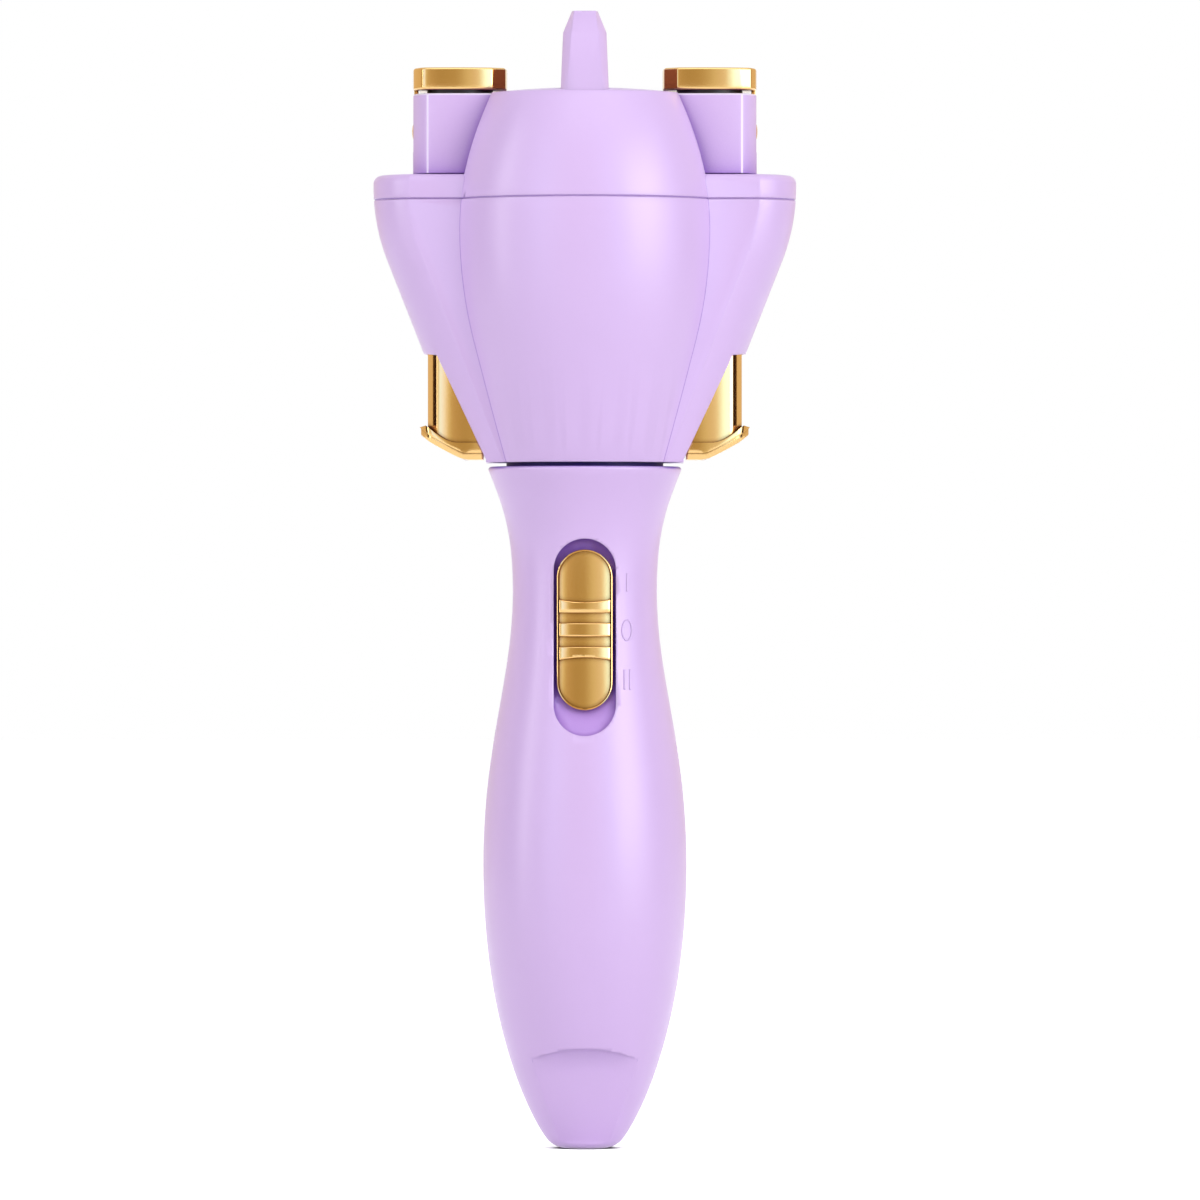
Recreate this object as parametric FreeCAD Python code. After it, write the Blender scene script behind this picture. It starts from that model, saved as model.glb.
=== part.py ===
"""Automatic hair braider: a battery handle with a slide switch, a turning head,
two spinning hair clamps on the head, and two push-up levers that open the clamps.

Millimetres, +Z up, origin at the middle of the base. The front, with the switch, faces -Y.
"""
import FreeCAD, Part
import math
import os

V = FreeCAD.Vector
UP = V(0, 0, 1)
ORIGIN = V(0, 0, 0)

# ---------------------------------------------------------------- driving dimensions
# Fits shared by many pieces
RUN_FIT = 0.05            # radial play of a turning or sliding fit
SKIN_GAP = 0.3            # play between covers and pieces that move past them
WALL = 2.0                # casing wall
JOINT_GAP = 0.1           # play between faces that meet end to end

# Two AA cells side by side, in a tray
CELL_R = 7.25
CELL_LENGTH = 50.5
CELL_NUB_R = 2.75
CELL_NUB = 1.0
CELL_PITCH = 15.0
CELL_LOW = 24.0           # height of the cells over the foot
TRAY_WALL = 1.2
TRAY_SIDE = 3.5           # from a cell's axis to the tray's edge
TRAY_GAP = 0.3
RAIL_INSET = 2.0
RAIL_THICK = 1.6
RAIL_SHORT_LOW = 6.0
RAIL_SHORT_HIGH = 4.0
CONTACT_THICK = 0.4
CONTACT_HALF = 3.5
CONTACT_BUMP_R = 2.0
CONTACT_ROOM = 3.0        # from a cell's end to the tray's end wall
CONTACT_SPRING_R = 2.6
CONTACT_WIRE = 0.3

# Battery door: the lower rear half of the handle, slides down
DOOR_SPARE = 1.3          # from the tray's top to the door's top
DOOR_GAP = 0.15
TONGUE_WIDTH = 16.0
TONGUE_RISE = 7.0
TONGUE_ROOT = 3.0
TONGUE_WALL = 1.4
GUIDE_INSET = 5.52        # guide tabs of the door, inside the front shell
GUIDE_THICK = 1.7
GUIDE_REACH = 2.5
GUIDE_Z = 50.0
GUIDE_LENGTH = 12.0

# Screws
SCREW_R = 1.0
SCREW_HEAD_R = 1.9
SCREW_HEAD = 1.6
SCREW_BITE = 6.0          # length of thread in the plate's bosses
SCREW_FLOOR = 0.5         # left under the sleeve's screws
BOSS_WALL = 2.0
GRIP_SCREW_X = 12.0
GRIP_SCREW_SEAT = 10.0
GRIP_SCREW_TIP = -9.0
NECK_SCREW_SIDE = 1.75    # from the clutch's rim to the screw's axis
NECK_SCREW_SEAT = 5.0
NECK_SCREW_TIP = -6.0

# Motor and planetary stage
MOTOR_WIDTH = 20.1
MOTOR_DEPTH = 15.1
MOTOR_LENGTH = 25.0
MOTOR_SPARE = 3.9         # from the screw bosses to the motor's tail
MOTOR_BOSS_R = 3.0
MOTOR_BOSS = 1.6
MOTOR_SHAFT_R = 1.0
CRADLE_INSET = 3.5
CRADLE_THICK = 1.6
STAGE_MODULE = 0.6
PINION_TEETH = 12
PLANET_TEETH = 12
RING_TEETH = 36
PLANETS = 3
STAGE_GEAR = 6.0          # face width
STAGE_FLOOR = 2.0
STAGE_FLOOR_GAP = 1.5
STAGE_BACKLASH = 0.08
RING_WALL = 1.3
RING_BORE = 0.8           # the smooth bore's step over the ring gear's pitch radius
PLANET_PIN_R = 1.0
CARRIER_GAP = 0.7
CARRIER_THICK = 2.5
CARRIER_SPARE = 3.5

# Neck: the head's sleeve turns in the handle's bush and one-way clutch
SLEEVE_R = 12.5
SLEEVE_WALL = 2.0
SLEEVE_RIM = 5.0          # how far its flange stands out
SLEEVE_FLANGE = 2.2
SLEEVE_HUB = 8.0
SLEEVE_SPARE = 0.4
BUSH_WALL = 1.45
BUSH_RIM = 1.2
BUSH_LENGTH = 4.1
CLUTCH_WALL = 2.05
CLUTCH_LENGTH = 6.6
SNAP_RING = 0.9
SNAP_GROOVE = 0.7
SNAP_LOW = 0.2
WASHER_RIM = 5.1
NECK_GAP = 0.9            # between the collar and the head
SHAFT_R = 3.0
SHAFT_CLUTCH_WALL = 2.0
SHAFT_CLUTCH_LENGTH = 9.0

# Slide switch: recess in the neck, knob that travels up and down
RECESS_SIDE_GAP = 0.7
RECESS_SPARE = 3.5        # length left over at the ends of the knob's travel
RECESS_DROP = 1.65        # how far the recess's middle lies below the knob's
RECESS_WALL = 1.1
RECESS_DEPTH = 2.9        # at mid length
RECESS_BULGE = 0.38       # how much wider the handle is there than at its neck
RECESS_LEAN_LOW = 5.74    # floor's lean out to the grip
RECESS_LEAN_HIGH = 0.94
RECESS_PULL_LOW = 0.76
RECESS_PULL_HIGH = 1.46
RECESS_PULL = 10.5
KNOB_WIDTH = 12.5
KNOB_LENGTH = 35.9
KNOB_PROUD = 0.4
KNOB_TRAVEL = 2.3
KNOB_FLOOR_GAP = 0.12
RIB_HEIGHT = 3.0
RIB_PITCH = 5.3
RIB_HOLLOW = 0.65         # how far the outer ribs' far sides are hollowed for the thumb
FACE_MID = 0.7            # how far the knob's face stands out past the neck
FACE_LOW = 2.0
FACE_HIGH = 0.5
PAD_DEPTH = 1.2           # of the trough between the knob's rims
PAD_RIM = 0.5
STEM_WIDTH = 3.0
STEM_LENGTH = 4.0
STEM_BITE = 1.2
SWITCH_WIDTH = 10.0
SWITCH_LENGTH = 13.0
SWITCH_DEPTH = 2.6
SWITCH_SLOT = 1.5
SWITCH_SPARE = 0.65       # from the switch's top to the ring gear's housing
SWITCH_SEAT = 0.45        # from the recess's back to the switch
BOARD_WIDTH = 15.0
BOARD_LENGTH = 24.0
BOARD_THICK = 1.2
BOARD_SPARE = 0.76        # from the board to the motor

# Handle outline: a body of revolution, with the pulls of its curves
BASE_R = 4.4              # flat that it stands on
TIP_R = 8.2
TIP_Z = 1.65
TIP_ROUND = (0.55, 0.30) # middle of the round between them: shares of its width and height
TIP_PULL_R = 2.6
TIP_PULL_Z = 2.8
GRIP_SPARE = 6.07         # room beside the cells at the widest place of the grip
GRIP_PULL_LOW = 0.63      # share of the height down to the tip
GRIP_PULL_HIGH = 0.45     # share of the height up to the neck
GRIP_DROP = 61.39         # from the neck's slimmest place down to the grip's widest
NECK_PULL_LOW = 20.0
NECK_PULL_HIGH = 14.0
NECK_DROP = 27.95         # from the collar down to the neck's slimmest place
FLARE_SHARE = 0.44        # share of the collar's flare at its upper pull
FLARE_PULL = 8.45         # from the collar's top down to the upper pull
COLLAR_R = 21.66          # flared top edge
COLLAR_ROUND = 0.7
HANDLE_FLOOR = 3.0

# Thumb scoop at the foot of the front shell
SCOOP_TOP = 22.4
SCOOP_ARCH = 2.1
SCOOP_HALF_TOP = 11.8
SCOOP_HALF_FOOT = 5.4
SCOOP_FOOT = 1.8
SCOOP_DEPTH = 2.9
SCOOP_WALL = 1.6
SCOOP_TOP_R = 17.1        # handle's radius at the top of the scoop
SCOOP_FOOT_OUT = 0.5
SCOOP_BOW_TOP = (15.0, 3.6)   # the floor's round across: half width, and how far it falls back there
SCOOP_BOW_FOOT = (8.0, 5.6)

# Gear plate and the gears that spin the clamps
PLATE_RISE = 45.2         # over the head's underside
PLATE_THICK = 3.0
PLATE_GAP = 0.15
BOSS_X = 12.0
BOSS_Y = 17.0
BOSS_R = 3.0
BOSS_LENGTH = 29.0
BOSS_WEB = 1.2
HEAD_MODULE = 1.0
SUN_TEETH = 38
TURRET_TEETH = 18
HEAD_GEAR_RISE = 3.9      # over the plate
HEAD_GEAR = 5.0
HEAD_BACKLASH = 0.12
SUN_HUB_WALL = 2.5
SHAFT_RING_WALL = 1.6
SHAFT_RING = 0.8
SHAFT_END = 1.2

# Turrets: towers that spin on the head, and the clamps' rods and springs in them
TOWER_R = 11.2            # round on which the tower's corners lie
TOWER_FACE_X = 0.9        # how far each face lies inside that round
TOWER_FACE_Y = 2.8
TOWER_BOW_X = 0.3
TOWER_BOW_Y = 0.5
TOWER_DROP = 0.1          # its top lies below the barrel's
POCKET_GAP = 1.0
ROD_R = 1.6
ROD_SOCKET = 2.8
ROD_RIM = 2.2
ROD_COLLAR = 1.5
ROD_COLLAR_RISE = 1.5     # over the plate's underside
SPRING_ROOM = 0.4
SPRING_HEAD = 2.0         # from the gears' top to the ledge over the spring
CLAMP_SPRING_R = 2.9
CLAMP_WIRE = 0.35
JOURNAL_WALL = 1.0
JOURNAL_END = 3.0         # under the plate
SEAT_STEP = 0.8
SEAT_RISE = 1.0
HUB_STEP = 1.5
GEAR_HUB_WALL = 1.8
TURRET_BUSH_WALL = 1.4
TURRET_BUSH_PROUD = 0.4
TURRET_RING_RIM = 1.3
TURRET_RING = 1.2
GROOVE_RISE = 5.2         # groove's foot over the lid

# Clamp caps
CAP_GAP = 0.8
CAP_THICK = 5.0
CAP_ROUND = 1.2
CAP_BOSS_INSET = 1.0
LEG_THICK = 0.95
LEG_HALF = 2.5
LEG_RISE = 0.6            # leg's end over the groove's foot
LEG_INSET = 0.3
CLAMP_LIFT = 6.0

# Head: a barrel of revolution with a flat-faced wing on each side
BELLY_R = 30.7
BELLY_RISE = 52.2         # over the head's underside
LOWER_ARC = 113.0
UPPER_ARC = 64.1
CONE_ANGLE = 12.8         # degrees, where the lower arc runs into the straight cone
BARREL_RISE = 18.3        # over the lid
DOME = 1.4
DOME_SHARE = 0.75         # of its rise, half-way out
GEAR_ROOM = 0.85          # beside the turrets' gears
WING_END_ARC = 1.2        # how much more than the half depth the end's radius is
WING_HALF_WIDTH = 47.45
WING_ARC = 45.0
WING_ARC_DROP = 2.7       # the flank's widest place under the lid's top
WING_ANGLE = 21.5         # degrees, lean of the wing's straight flank
LID_ROOM = 7.3            # from the gears to the lid's top
LID_SKIRT = 5.5
SEAM_GAP = 0.35
LID_ROUND = 1.8
LIP_THICK = 0.9
LIP_RISE = 1.4
LIP_ROOT = 1.2
LIP_GAP = 0.1
FLOOR_THICK = 2.2
NOTCH_INSET = 14.35       # the lever's notch: its corner, from the wing's flank
NOTCH_RISE = 24.0
NOTCH_FOOT_SIDE = 5.9     # its foot, from a turret's axis
NOTCH_SLOPE = 0.13
PARTITION_SIDE = 5.6      # from a turret's axis
PARTITION_WALL = 1.6
FIN_HEIGHT = 18.3
FIN_BREAK = 5.0           # from the crest down to where its sides lean in
FIN_HALF_BASE = 5.4
FIN_HALF_MID = 4.85
FIN_HALF_TOP = 2.9
FIN_FACET_BASE = 3.9
FIN_FACET_MID = 3.0
FIN_FACET_TOP = 2.4
FIN_DEPTH_TOP = 9.0
FIN_CHAMFER = 2.4
FIN_SINK = 1.0
FIN_WALL = 1.8
FIN_WALL_TOP = 1.44

# Levers: blocks between the wing's walls, pushed up with a finger
LEVER_REACH = 7.2         # outer face, from the turret's axis
LEVER_DROP = 0.6          # underside over the head's
LEVER_HEIGHT = 25.5
LEVER_SIDE = 4.8          # from the wing's front to the lever's
LEVER_FACE = 3.0          # half-width of the narrow outer face
LEVER_BOW = 0.1
LEVER_BOW_PLACE = 5.0
LEVER_BEVEL_1 = (2.0, 1.2)
LEVER_BEVEL_2 = (1.1, 2.6)
LEVER_GAP = 0.15          # play in the wing's mouth
FOOT_SIDE = 0.7
FOOT_TIP_OUT = 1.8        # the finger tip, past the outer face
FOOT_BOW = 0.1
FOOT_BEVEL_1 = (3.3, 1.2)    # its front's shoulder and corner, from the tip and the front
FOOT_BEVEL_2 = (1.7, 2.9)
FOOT_NOSE_HALF = 4.4
FOOT_TIER = 1.5           # height of the stepped lower part
FOOT_STEP = 0.5
FOOT_TIP_RISE = 7.4
FOOT_TIP_LIP = 1.3
FOOT_TIP_THICK = 0.9
FOOT_THICK = 3.8          # where its top is level
FOOT_TOP_LENGTH = 5.8
FOOT_FLAT_LENGTH = 4.2    # before the underside starts to rise to the tip
FOOT_TOP_PULL = (3.5, 0.1)   # pulls of the sled's curves: along, up
FOOT_TIP_PULL = (1.7, 2.0)
FOOT_NOSE_PULL = 2.5
FOOT_FLAT_PULL = (4.7, 0.8)
GUIDE_RIB = 2.0
GUIDE_RIB_LENGTH = 4.4
GUIDE_RIB_GAP = 0.15
LEVER_STOP = 1.5
LEVER_SPRING_R = 1.45
LEVER_WIRE = 0.25
LEVER_SPRING_SIDE = 1.6
LEVER_SPRING_NEST = 0.05
LEVER_PIN = 4.0

# ---------------------------------------------------------------- worked-out sizes
# Handle, from the cells up
CELL_HIGH = CELL_LOW + CELL_LENGTH
TRAY_LOW = CELL_LOW - CONTACT_ROOM
TRAY_HIGH = CELL_HIGH + CONTACT_ROOM
TRAY_FRONT = -(CELL_R + TRAY_GAP + TRAY_WALL)
TRAY_HALF = CELL_PITCH / 2 + TRAY_SIDE
DOOR_TOP = TRAY_HIGH + TRAY_WALL + DOOR_SPARE
BOSS_OUTER = SCREW_R + BOSS_WALL
GRIP_SCREW_Z = DOOR_TOP + TONGUE_RISE + BOSS_OUTER
MOTOR_LOW = GRIP_SCREW_Z + BOSS_OUTER + MOTOR_SPARE + MOTOR_BOSS
MOTOR_HIGH = MOTOR_LOW + MOTOR_LENGTH
STAGE_LOW = MOTOR_HIGH
STAGE_GEAR_LOW = STAGE_LOW + STAGE_FLOOR + STAGE_FLOOR_GAP
STAGE_GEAR_HIGH = STAGE_GEAR_LOW + STAGE_GEAR
CARRIER_LOW = STAGE_GEAR_HIGH + CARRIER_GAP
STAGE_HIGH = CARRIER_LOW + CARRIER_THICK + CARRIER_SPARE
PLANET_ORBIT = STAGE_MODULE * (PINION_TEETH + PLANET_TEETH) / 2
RING_PITCH_R = STAGE_MODULE * RING_TEETH / 2
STAGE_BORE_R = RING_PITCH_R + RING_BORE
STAGE_OUTER_R = RING_PITCH_R + RING_WALL
SLEEVE_LOW = STAGE_HIGH + SLEEVE_SPARE + SNAP_RING
CLUTCH_LOW = SLEEVE_LOW + SNAP_LOW + SNAP_RING + JOINT_GAP
CLUTCH_HIGH = CLUTCH_LOW + CLUTCH_LENGTH
HANDLE_TOP = CLUTCH_HIGH + BUSH_LENGTH
BUSH_R = SLEEVE_R + RUN_FIT + BUSH_WALL
CLUTCH_R = SLEEVE_R + RUN_FIT + CLUTCH_WALL
SHAFT_CLUTCH_R = SHAFT_R + SHAFT_CLUTCH_WALL
SLEEVE_FLANGE_R = SLEEVE_R + SLEEVE_RIM
KNOB_Z = STAGE_LOW - SWITCH_SPARE - SWITCH_LENGTH / 2
RECESS_WIDTH = KNOB_WIDTH + 2 * RECESS_SIDE_GAP
RECESS_LENGTH = KNOB_LENGTH + 2 * KNOB_TRAVEL + RECESS_SPARE
RECESS_LOW = KNOB_Z - RECESS_DROP - RECESS_LENGTH / 2
RECESS_HIGH = RECESS_LOW + RECESS_LENGTH
BOARD_BACK_Y = -(MOTOR_DEPTH / 2 + BOARD_SPARE)
SWITCH_BACK_Y = BOARD_BACK_Y - BOARD_THICK
SWITCH_FRONT_Y = SWITCH_BACK_Y - SWITCH_DEPTH
RECESS_FLOOR_Y = SWITCH_FRONT_Y - SWITCH_SEAT - RECESS_WALL
NECK_R = RECESS_DEPTH - RECESS_FLOOR_Y - RECESS_BULGE
NECK_Z = HANDLE_TOP - NECK_DROP
GRIP_R = CELL_PITCH / 2 + CELL_R + GRIP_SPARE + WALL
GRIP_Z = NECK_Z - GRIP_DROP

# Head, from its underside up
HEAD_BOTTOM = HANDLE_TOP + NECK_GAP
FLANGE_HIGH = HEAD_BOTTOM + FLOOR_THICK + SLEEVE_FLANGE
PLATE_LOW = HEAD_BOTTOM + PLATE_RISE
PLATE_HIGH = PLATE_LOW + PLATE_THICK
HEAD_GEAR_LOW = PLATE_HIGH + HEAD_GEAR_RISE
HEAD_GEAR_HIGH = HEAD_GEAR_LOW + HEAD_GEAR
GEAR_TIP_R = HEAD_MODULE * (TURRET_TEETH / 2 + 0.95)
TURRET_X = HEAD_MODULE * (SUN_TEETH + TURRET_TEETH) / 2
LID_TOP = HEAD_GEAR_HIGH + LID_ROOM
LID_SEAM = LID_TOP - LID_SKIRT
WING_ARC_Z = LID_TOP - WING_ARC_DROP
WING_HALF_DEPTH = GEAR_TIP_R + GEAR_ROOM + WALL
BELLY_Z = HEAD_BOTTOM + BELLY_RISE
BARREL_TOP = LID_TOP + BARREL_RISE
BARREL_TOP_R = BELLY_R - UPPER_ARC + math.sqrt(UPPER_ARC ** 2 - (BARREL_TOP - BELLY_Z) ** 2)
FIN_TOP_Z = BARREL_TOP + FIN_HEIGHT
PARTITION_X = TURRET_X - PARTITION_SIDE
ROD_COLLAR_R = ROD_R + ROD_RIM
SPRING_BORE_R = ROD_COLLAR_R + SPRING_ROOM
JOURNAL_R = SPRING_BORE_R + JOURNAL_WALL
GEAR_SEAT_R = JOURNAL_R + SEAT_STEP
HUB_R = GEAR_SEAT_R + HUB_STEP
TURRET_BUSH_R = JOURNAL_R + RUN_FIT + TURRET_BUSH_WALL
POCKET_R = TOWER_R + POCKET_GAP
TOWER_HALF_X = TOWER_R - TOWER_FACE_X
TOWER_HALF_Y = TOWER_R - TOWER_FACE_Y
TOWER_LOW = LID_TOP + SKIN_GAP
TOWER_TOP = BARREL_TOP - TOWER_DROP
GROOVE_LOW = LID_TOP + GROOVE_RISE
JOURNAL_LOW = PLATE_LOW - JOURNAL_END
SPRING_LEDGE = HEAD_GEAR_HIGH + SPRING_HEAD
ROD_COLLAR_LOW = PLATE_LOW + ROD_COLLAR_RISE
CAP_LOW = TOWER_TOP + CAP_GAP
LEG_OUTER = TURRET_X + TOWER_HALF_X + TOWER_BOW_X - LEG_INSET
LEVER_LOW = HEAD_BOTTOM + LEVER_DROP
LEVER_TOP = LEVER_LOW + LEVER_HEIGHT
ROD_LOW = LEVER_TOP + JOINT_GAP
LEVER_INNER = PARTITION_X + SKIN_GAP
LEVER_OUTER = TURRET_X + LEVER_REACH
LEVER_HALF = WING_HALF_DEPTH - LEVER_SIDE
FOOT_HALF = LEVER_HALF + FOOT_SIDE
FOOT_TOP = LEVER_LOW + FOOT_THICK
FOOT_TOP_X = LEVER_INNER + FOOT_TOP_LENGTH
GUIDE_RIB_LOW = LEVER_TOP - GUIDE_RIB_LENGTH
LEVER_SPRING_X = LEVER_INNER + LEVER_SPRING_SIDE
LEVER_SPRING_Y = TURRET_BUSH_R + LEVER_SPRING_R + LEVER_WIRE - LEVER_SPRING_NEST
SIDES = (("left", -1), ("right", 1))


# ---------------------------------------------------------------- helpers
def box(x0, x1, y0, y1, z0, z1):
    """Block between two corners."""
    return Part.makeBox(x1 - x0, y1 - y0, z1 - z0, V(x0, y0, z0))


def rod(radius, z0, z1, x=0.0, y=0.0):
    """Upright cylinder."""
    return Part.makeCylinder(radius, z1 - z0, V(x, y, z0), UP)


def tube(outer, inner, z0, z1, x=0.0, y=0.0):
    """Upright ring or bush."""
    return rod(outer, z0, z1, x, y).cut(rod(inner, z0 - 1, z1 + 1, x, y))


def pin_y(radius, x, z, y0, y1):
    """Cylinder along Y."""
    return Part.makeCylinder(radius, y1 - y0, V(x, y0, z), V(0, 1, 0))


def line(a, b):
    """Straight edge."""
    return Part.LineSegment(a, b).toShape()


def arc(a, b, c):
    """Arc from a through b to c."""
    return Part.Arc(a, b, c).toShape()


def bezier(*poles):
    """Bezier edge."""
    curve = Part.BezierCurve()
    curve.setPoles(list(poles))
    return curve.toShape()


def face(edges):
    """Flat face inside a closed run of edges."""
    return Part.Face(Part.Wire(edges))


def polygon(points):
    """Flat face with straight sides."""
    return Part.Face(Part.makePolygon(points + points[:1]))


def side_points(pairs):
    """Points (x, z) in the plane Y = 0."""
    return [V(x, 0, z) for x, z in pairs]


def revolve(profile):
    """Body of revolution about the Z axis."""
    return profile.revolve(ORIGIN, UP, 360)


def fuse(first, *others):
    """Union with the seams between joined faces removed."""
    return first.multiFuse(list(others)).removeSplitter()


def cut(first, *tools):
    """First shape less all the tools."""
    return first.cut(list(tools))


def mirror_x(shape):
    """The same shape on the other side of the plane X = 0."""
    return shape.mirror(ORIGIN, V(1, 0, 0))


def sided(shape, sign):
    """A shape made for the right side, on the side that the sign names."""
    return shape if sign > 0 else mirror_x(shape)


def group(shapes):
    """Separate solids kept in one node."""
    return Part.makeCompound(shapes)


def coil_spring(radius, wire, z0, z1, turns, x=0.0, y=0.0, cone=0.0):
    """Helical spring whose wire lies between the heights z0 and z1."""
    height = z1 - z0 - 2 * wire
    helix = Part.makeHelix(height / turns, height, radius, cone)
    section = Part.Wire(Part.makeCircle(wire, V(radius, 0, 0), V(0, 1, 0)))
    spring = Part.Wire(helix).makePipeShell([section], True, True)
    spring.translate(V(x, y, z0 + wire))
    return spring


def flank_half_angle(radius, teeth, module, backlash):
    """Half the angle that a tooth takes up at a radius."""
    pressure = math.radians(20)
    pitch_r = module * teeth / 2
    base_r = pitch_r * math.cos(pressure)
    at_radius = math.acos(min(1.0, base_r / radius))
    rise = math.tan(pressure) - pressure - math.tan(at_radius) + at_radius
    return math.pi / (2 * teeth) - backlash / (4 * pitch_r) + rise


def gear_face(teeth, module, addendum, dedendum, backlash, turn=0.0):
    """Face of an involute gear; a tooth points at the angle turn, in degrees."""
    tip_r = module * teeth / 2 + addendum
    root_r = module * teeth / 2 - dedendum
    mid_r = (tip_r + root_r) / 2
    pitch = 2 * math.pi / teeth

    def point(radius, angle):
        return V(radius * math.cos(angle), radius * math.sin(angle), 0)

    edges = []
    root, mid, tip = [flank_half_angle(r, teeth, module, backlash) for r in (root_r, mid_r, tip_r)]
    for index in range(teeth):
        at = math.radians(turn) + index * pitch
        edges.append(arc(point(root_r, at - root), point(mid_r, at - mid), point(tip_r, at - tip)))
        edges.append(arc(point(tip_r, at - tip), point(tip_r, at), point(tip_r, at + tip)))
        edges.append(arc(point(tip_r, at + tip), point(mid_r, at + mid), point(root_r, at + root)))
        after = at + pitch
        edges.append(arc(point(root_r, at + root), point(root_r, at + pitch / 2), point(root_r, after - root)))
    return face(edges)


def gear(teeth, module, addendum, dedendum, backlash, turn, z0, z1, x=0.0, y=0.0):
    """Gear blank with teeth, standing at (x, y)."""
    body = gear_face(teeth, module, addendum, dedendum, backlash, turn).extrude(V(0, 0, z1 - z0))
    body.translate(V(x, y, z0))
    return body


# ---------------------------------------------------------------- handle forms
def handle_form(inset=0.0, z0=0.0, z1=HANDLE_TOP):
    """Handle's outline moved in by the inset, as a solid between two heights."""
    def pole(radius, height):
        return V(radius - inset, 0, height)

    low_pull = (GRIP_Z - TIP_Z) * GRIP_PULL_LOW
    high_pull = (NECK_Z - GRIP_Z) * GRIP_PULL_HIGH
    flare_mid = NECK_R + (COLLAR_R - NECK_R) * FLARE_SHARE
    top = HANDLE_TOP - COLLAR_ROUND
    corner = COLLAR_ROUND * (1 - math.sqrt(0.5))
    edges = [
        line(V(0, 0, 0), pole(BASE_R, 0)),
        arc(pole(BASE_R, 0), pole(BASE_R + TIP_ROUND[0] * (TIP_R - BASE_R), TIP_ROUND[1] * TIP_Z),
            pole(TIP_R, TIP_Z)),
        bezier(pole(TIP_R, TIP_Z), pole(TIP_R + TIP_PULL_R, TIP_Z + TIP_PULL_Z),
               pole(GRIP_R, GRIP_Z - low_pull), pole(GRIP_R, GRIP_Z)),
        bezier(pole(GRIP_R, GRIP_Z), pole(GRIP_R, GRIP_Z + high_pull),
               pole(NECK_R, NECK_Z - NECK_PULL_LOW), pole(NECK_R, NECK_Z)),
        bezier(pole(NECK_R, NECK_Z), pole(NECK_R, NECK_Z + NECK_PULL_HIGH),
               pole(flare_mid, HANDLE_TOP - FLARE_PULL), pole(COLLAR_R, top)),
        arc(pole(COLLAR_R, top), pole(COLLAR_R - corner, HANDLE_TOP - corner),
            pole(COLLAR_R - COLLAR_ROUND, HANDLE_TOP)),
        line(pole(COLLAR_R - COLLAR_ROUND, HANDLE_TOP), V(0, 0, HANDLE_TOP)),
        line(V(0, 0, HANDLE_TOP), V(0, 0, 0)),
    ]
    solid = revolve(face(edges))
    reach = 2 * GRIP_R
    return solid.common(box(-reach, reach, -reach, reach, z0, z1))


def stadium(width, low, high, y0, y1):
    """Upright slot shape with round ends, seen from the front, between two depths."""
    radius = width / 2
    middle = box(-radius, radius, y0, y1, low + radius, high - radius)
    ends = [pin_y(radius, 0, z, y0, y1) for z in (low + radius, high - radius)]
    return fuse(middle, *ends)


def recess_core(offset=0.0, shift=0.0):
    """Everything behind the floor of the switch recess, moved outward by the offset."""
    low_y = RECESS_FLOOR_Y - RECESS_LEAN_LOW
    high_y = RECESS_FLOOR_Y - RECESS_LEAN_HIGH
    low_pull = V(0, RECESS_FLOOR_Y + RECESS_PULL_LOW, RECESS_LOW + RECESS_PULL)
    high_pull = V(0, RECESS_FLOOR_Y + RECESS_PULL_HIGH, RECESS_HIGH - RECESS_PULL)
    floor = bezier(V(0, low_y, RECESS_LOW), low_pull, high_pull, V(0, high_y, RECESS_HIGH))
    past = RECESS_PULL * 0.8
    low_end = V(0, low_y - past / 2, RECESS_LOW - past)
    high_end = V(0, high_y - past / 5, RECESS_HIGH + past)
    edges = [
        line(low_end, V(0, low_y, RECESS_LOW)),
        floor,
        line(V(0, high_y, RECESS_HIGH), high_end),
        line(high_end, V(0, GRIP_R, high_end.z)),
        line(V(0, GRIP_R, high_end.z), V(0, GRIP_R, low_end.z)),
        line(V(0, GRIP_R, low_end.z), low_end),
    ]
    core = face(edges).extrude(V(2 * GRIP_R, 0, 0))
    core.translate(V(-GRIP_R, -offset, shift))
    return core


def scoop_tool(grow=0.0):
    """Thumb scoop: an arched pocket whose floor runs out at the foot."""
    foot = SCOOP_FOOT - grow
    top = SCOOP_TOP + grow
    half_top = SCOOP_HALF_TOP + grow
    half_foot = SCOOP_HALF_FOOT + grow
    shoulder = top - SCOOP_ARCH
    outline = face([
        line(V(-half_foot, 0, foot), V(-half_top, 0, shoulder)),
        arc(V(-half_top, 0, shoulder), V(0, 0, top), V(half_top, 0, shoulder)),
        line(V(half_top, 0, shoulder), V(half_foot, 0, foot)),
        line(V(half_foot, 0, foot), V(-half_foot, 0, foot)),
    ])
    prism = outline.extrude(V(0, -GRIP_R, 0))
    top_y = -(SCOOP_TOP_R - SCOOP_DEPTH) + grow
    foot_y = -(TIP_R + SCOOP_FOOT_OUT) + grow
    rings = []
    for (half, back), y, z in ((SCOOP_BOW_TOP, top_y, top + 1), (SCOOP_BOW_FOOT, foot_y, foot - 2)):
        left = V(-half, y + back, z)
        right = V(half, y + back, z)
        rings.append(Part.Wire([
            arc(left, V(0, y, z), right),
            line(right, V(half, 1, z)),
            line(V(half, 1, z), V(-half, 1, z)),
            line(V(-half, 1, z), left),
        ]))
    return cut(prism, Part.makeLoft(rings, True, True))


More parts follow.
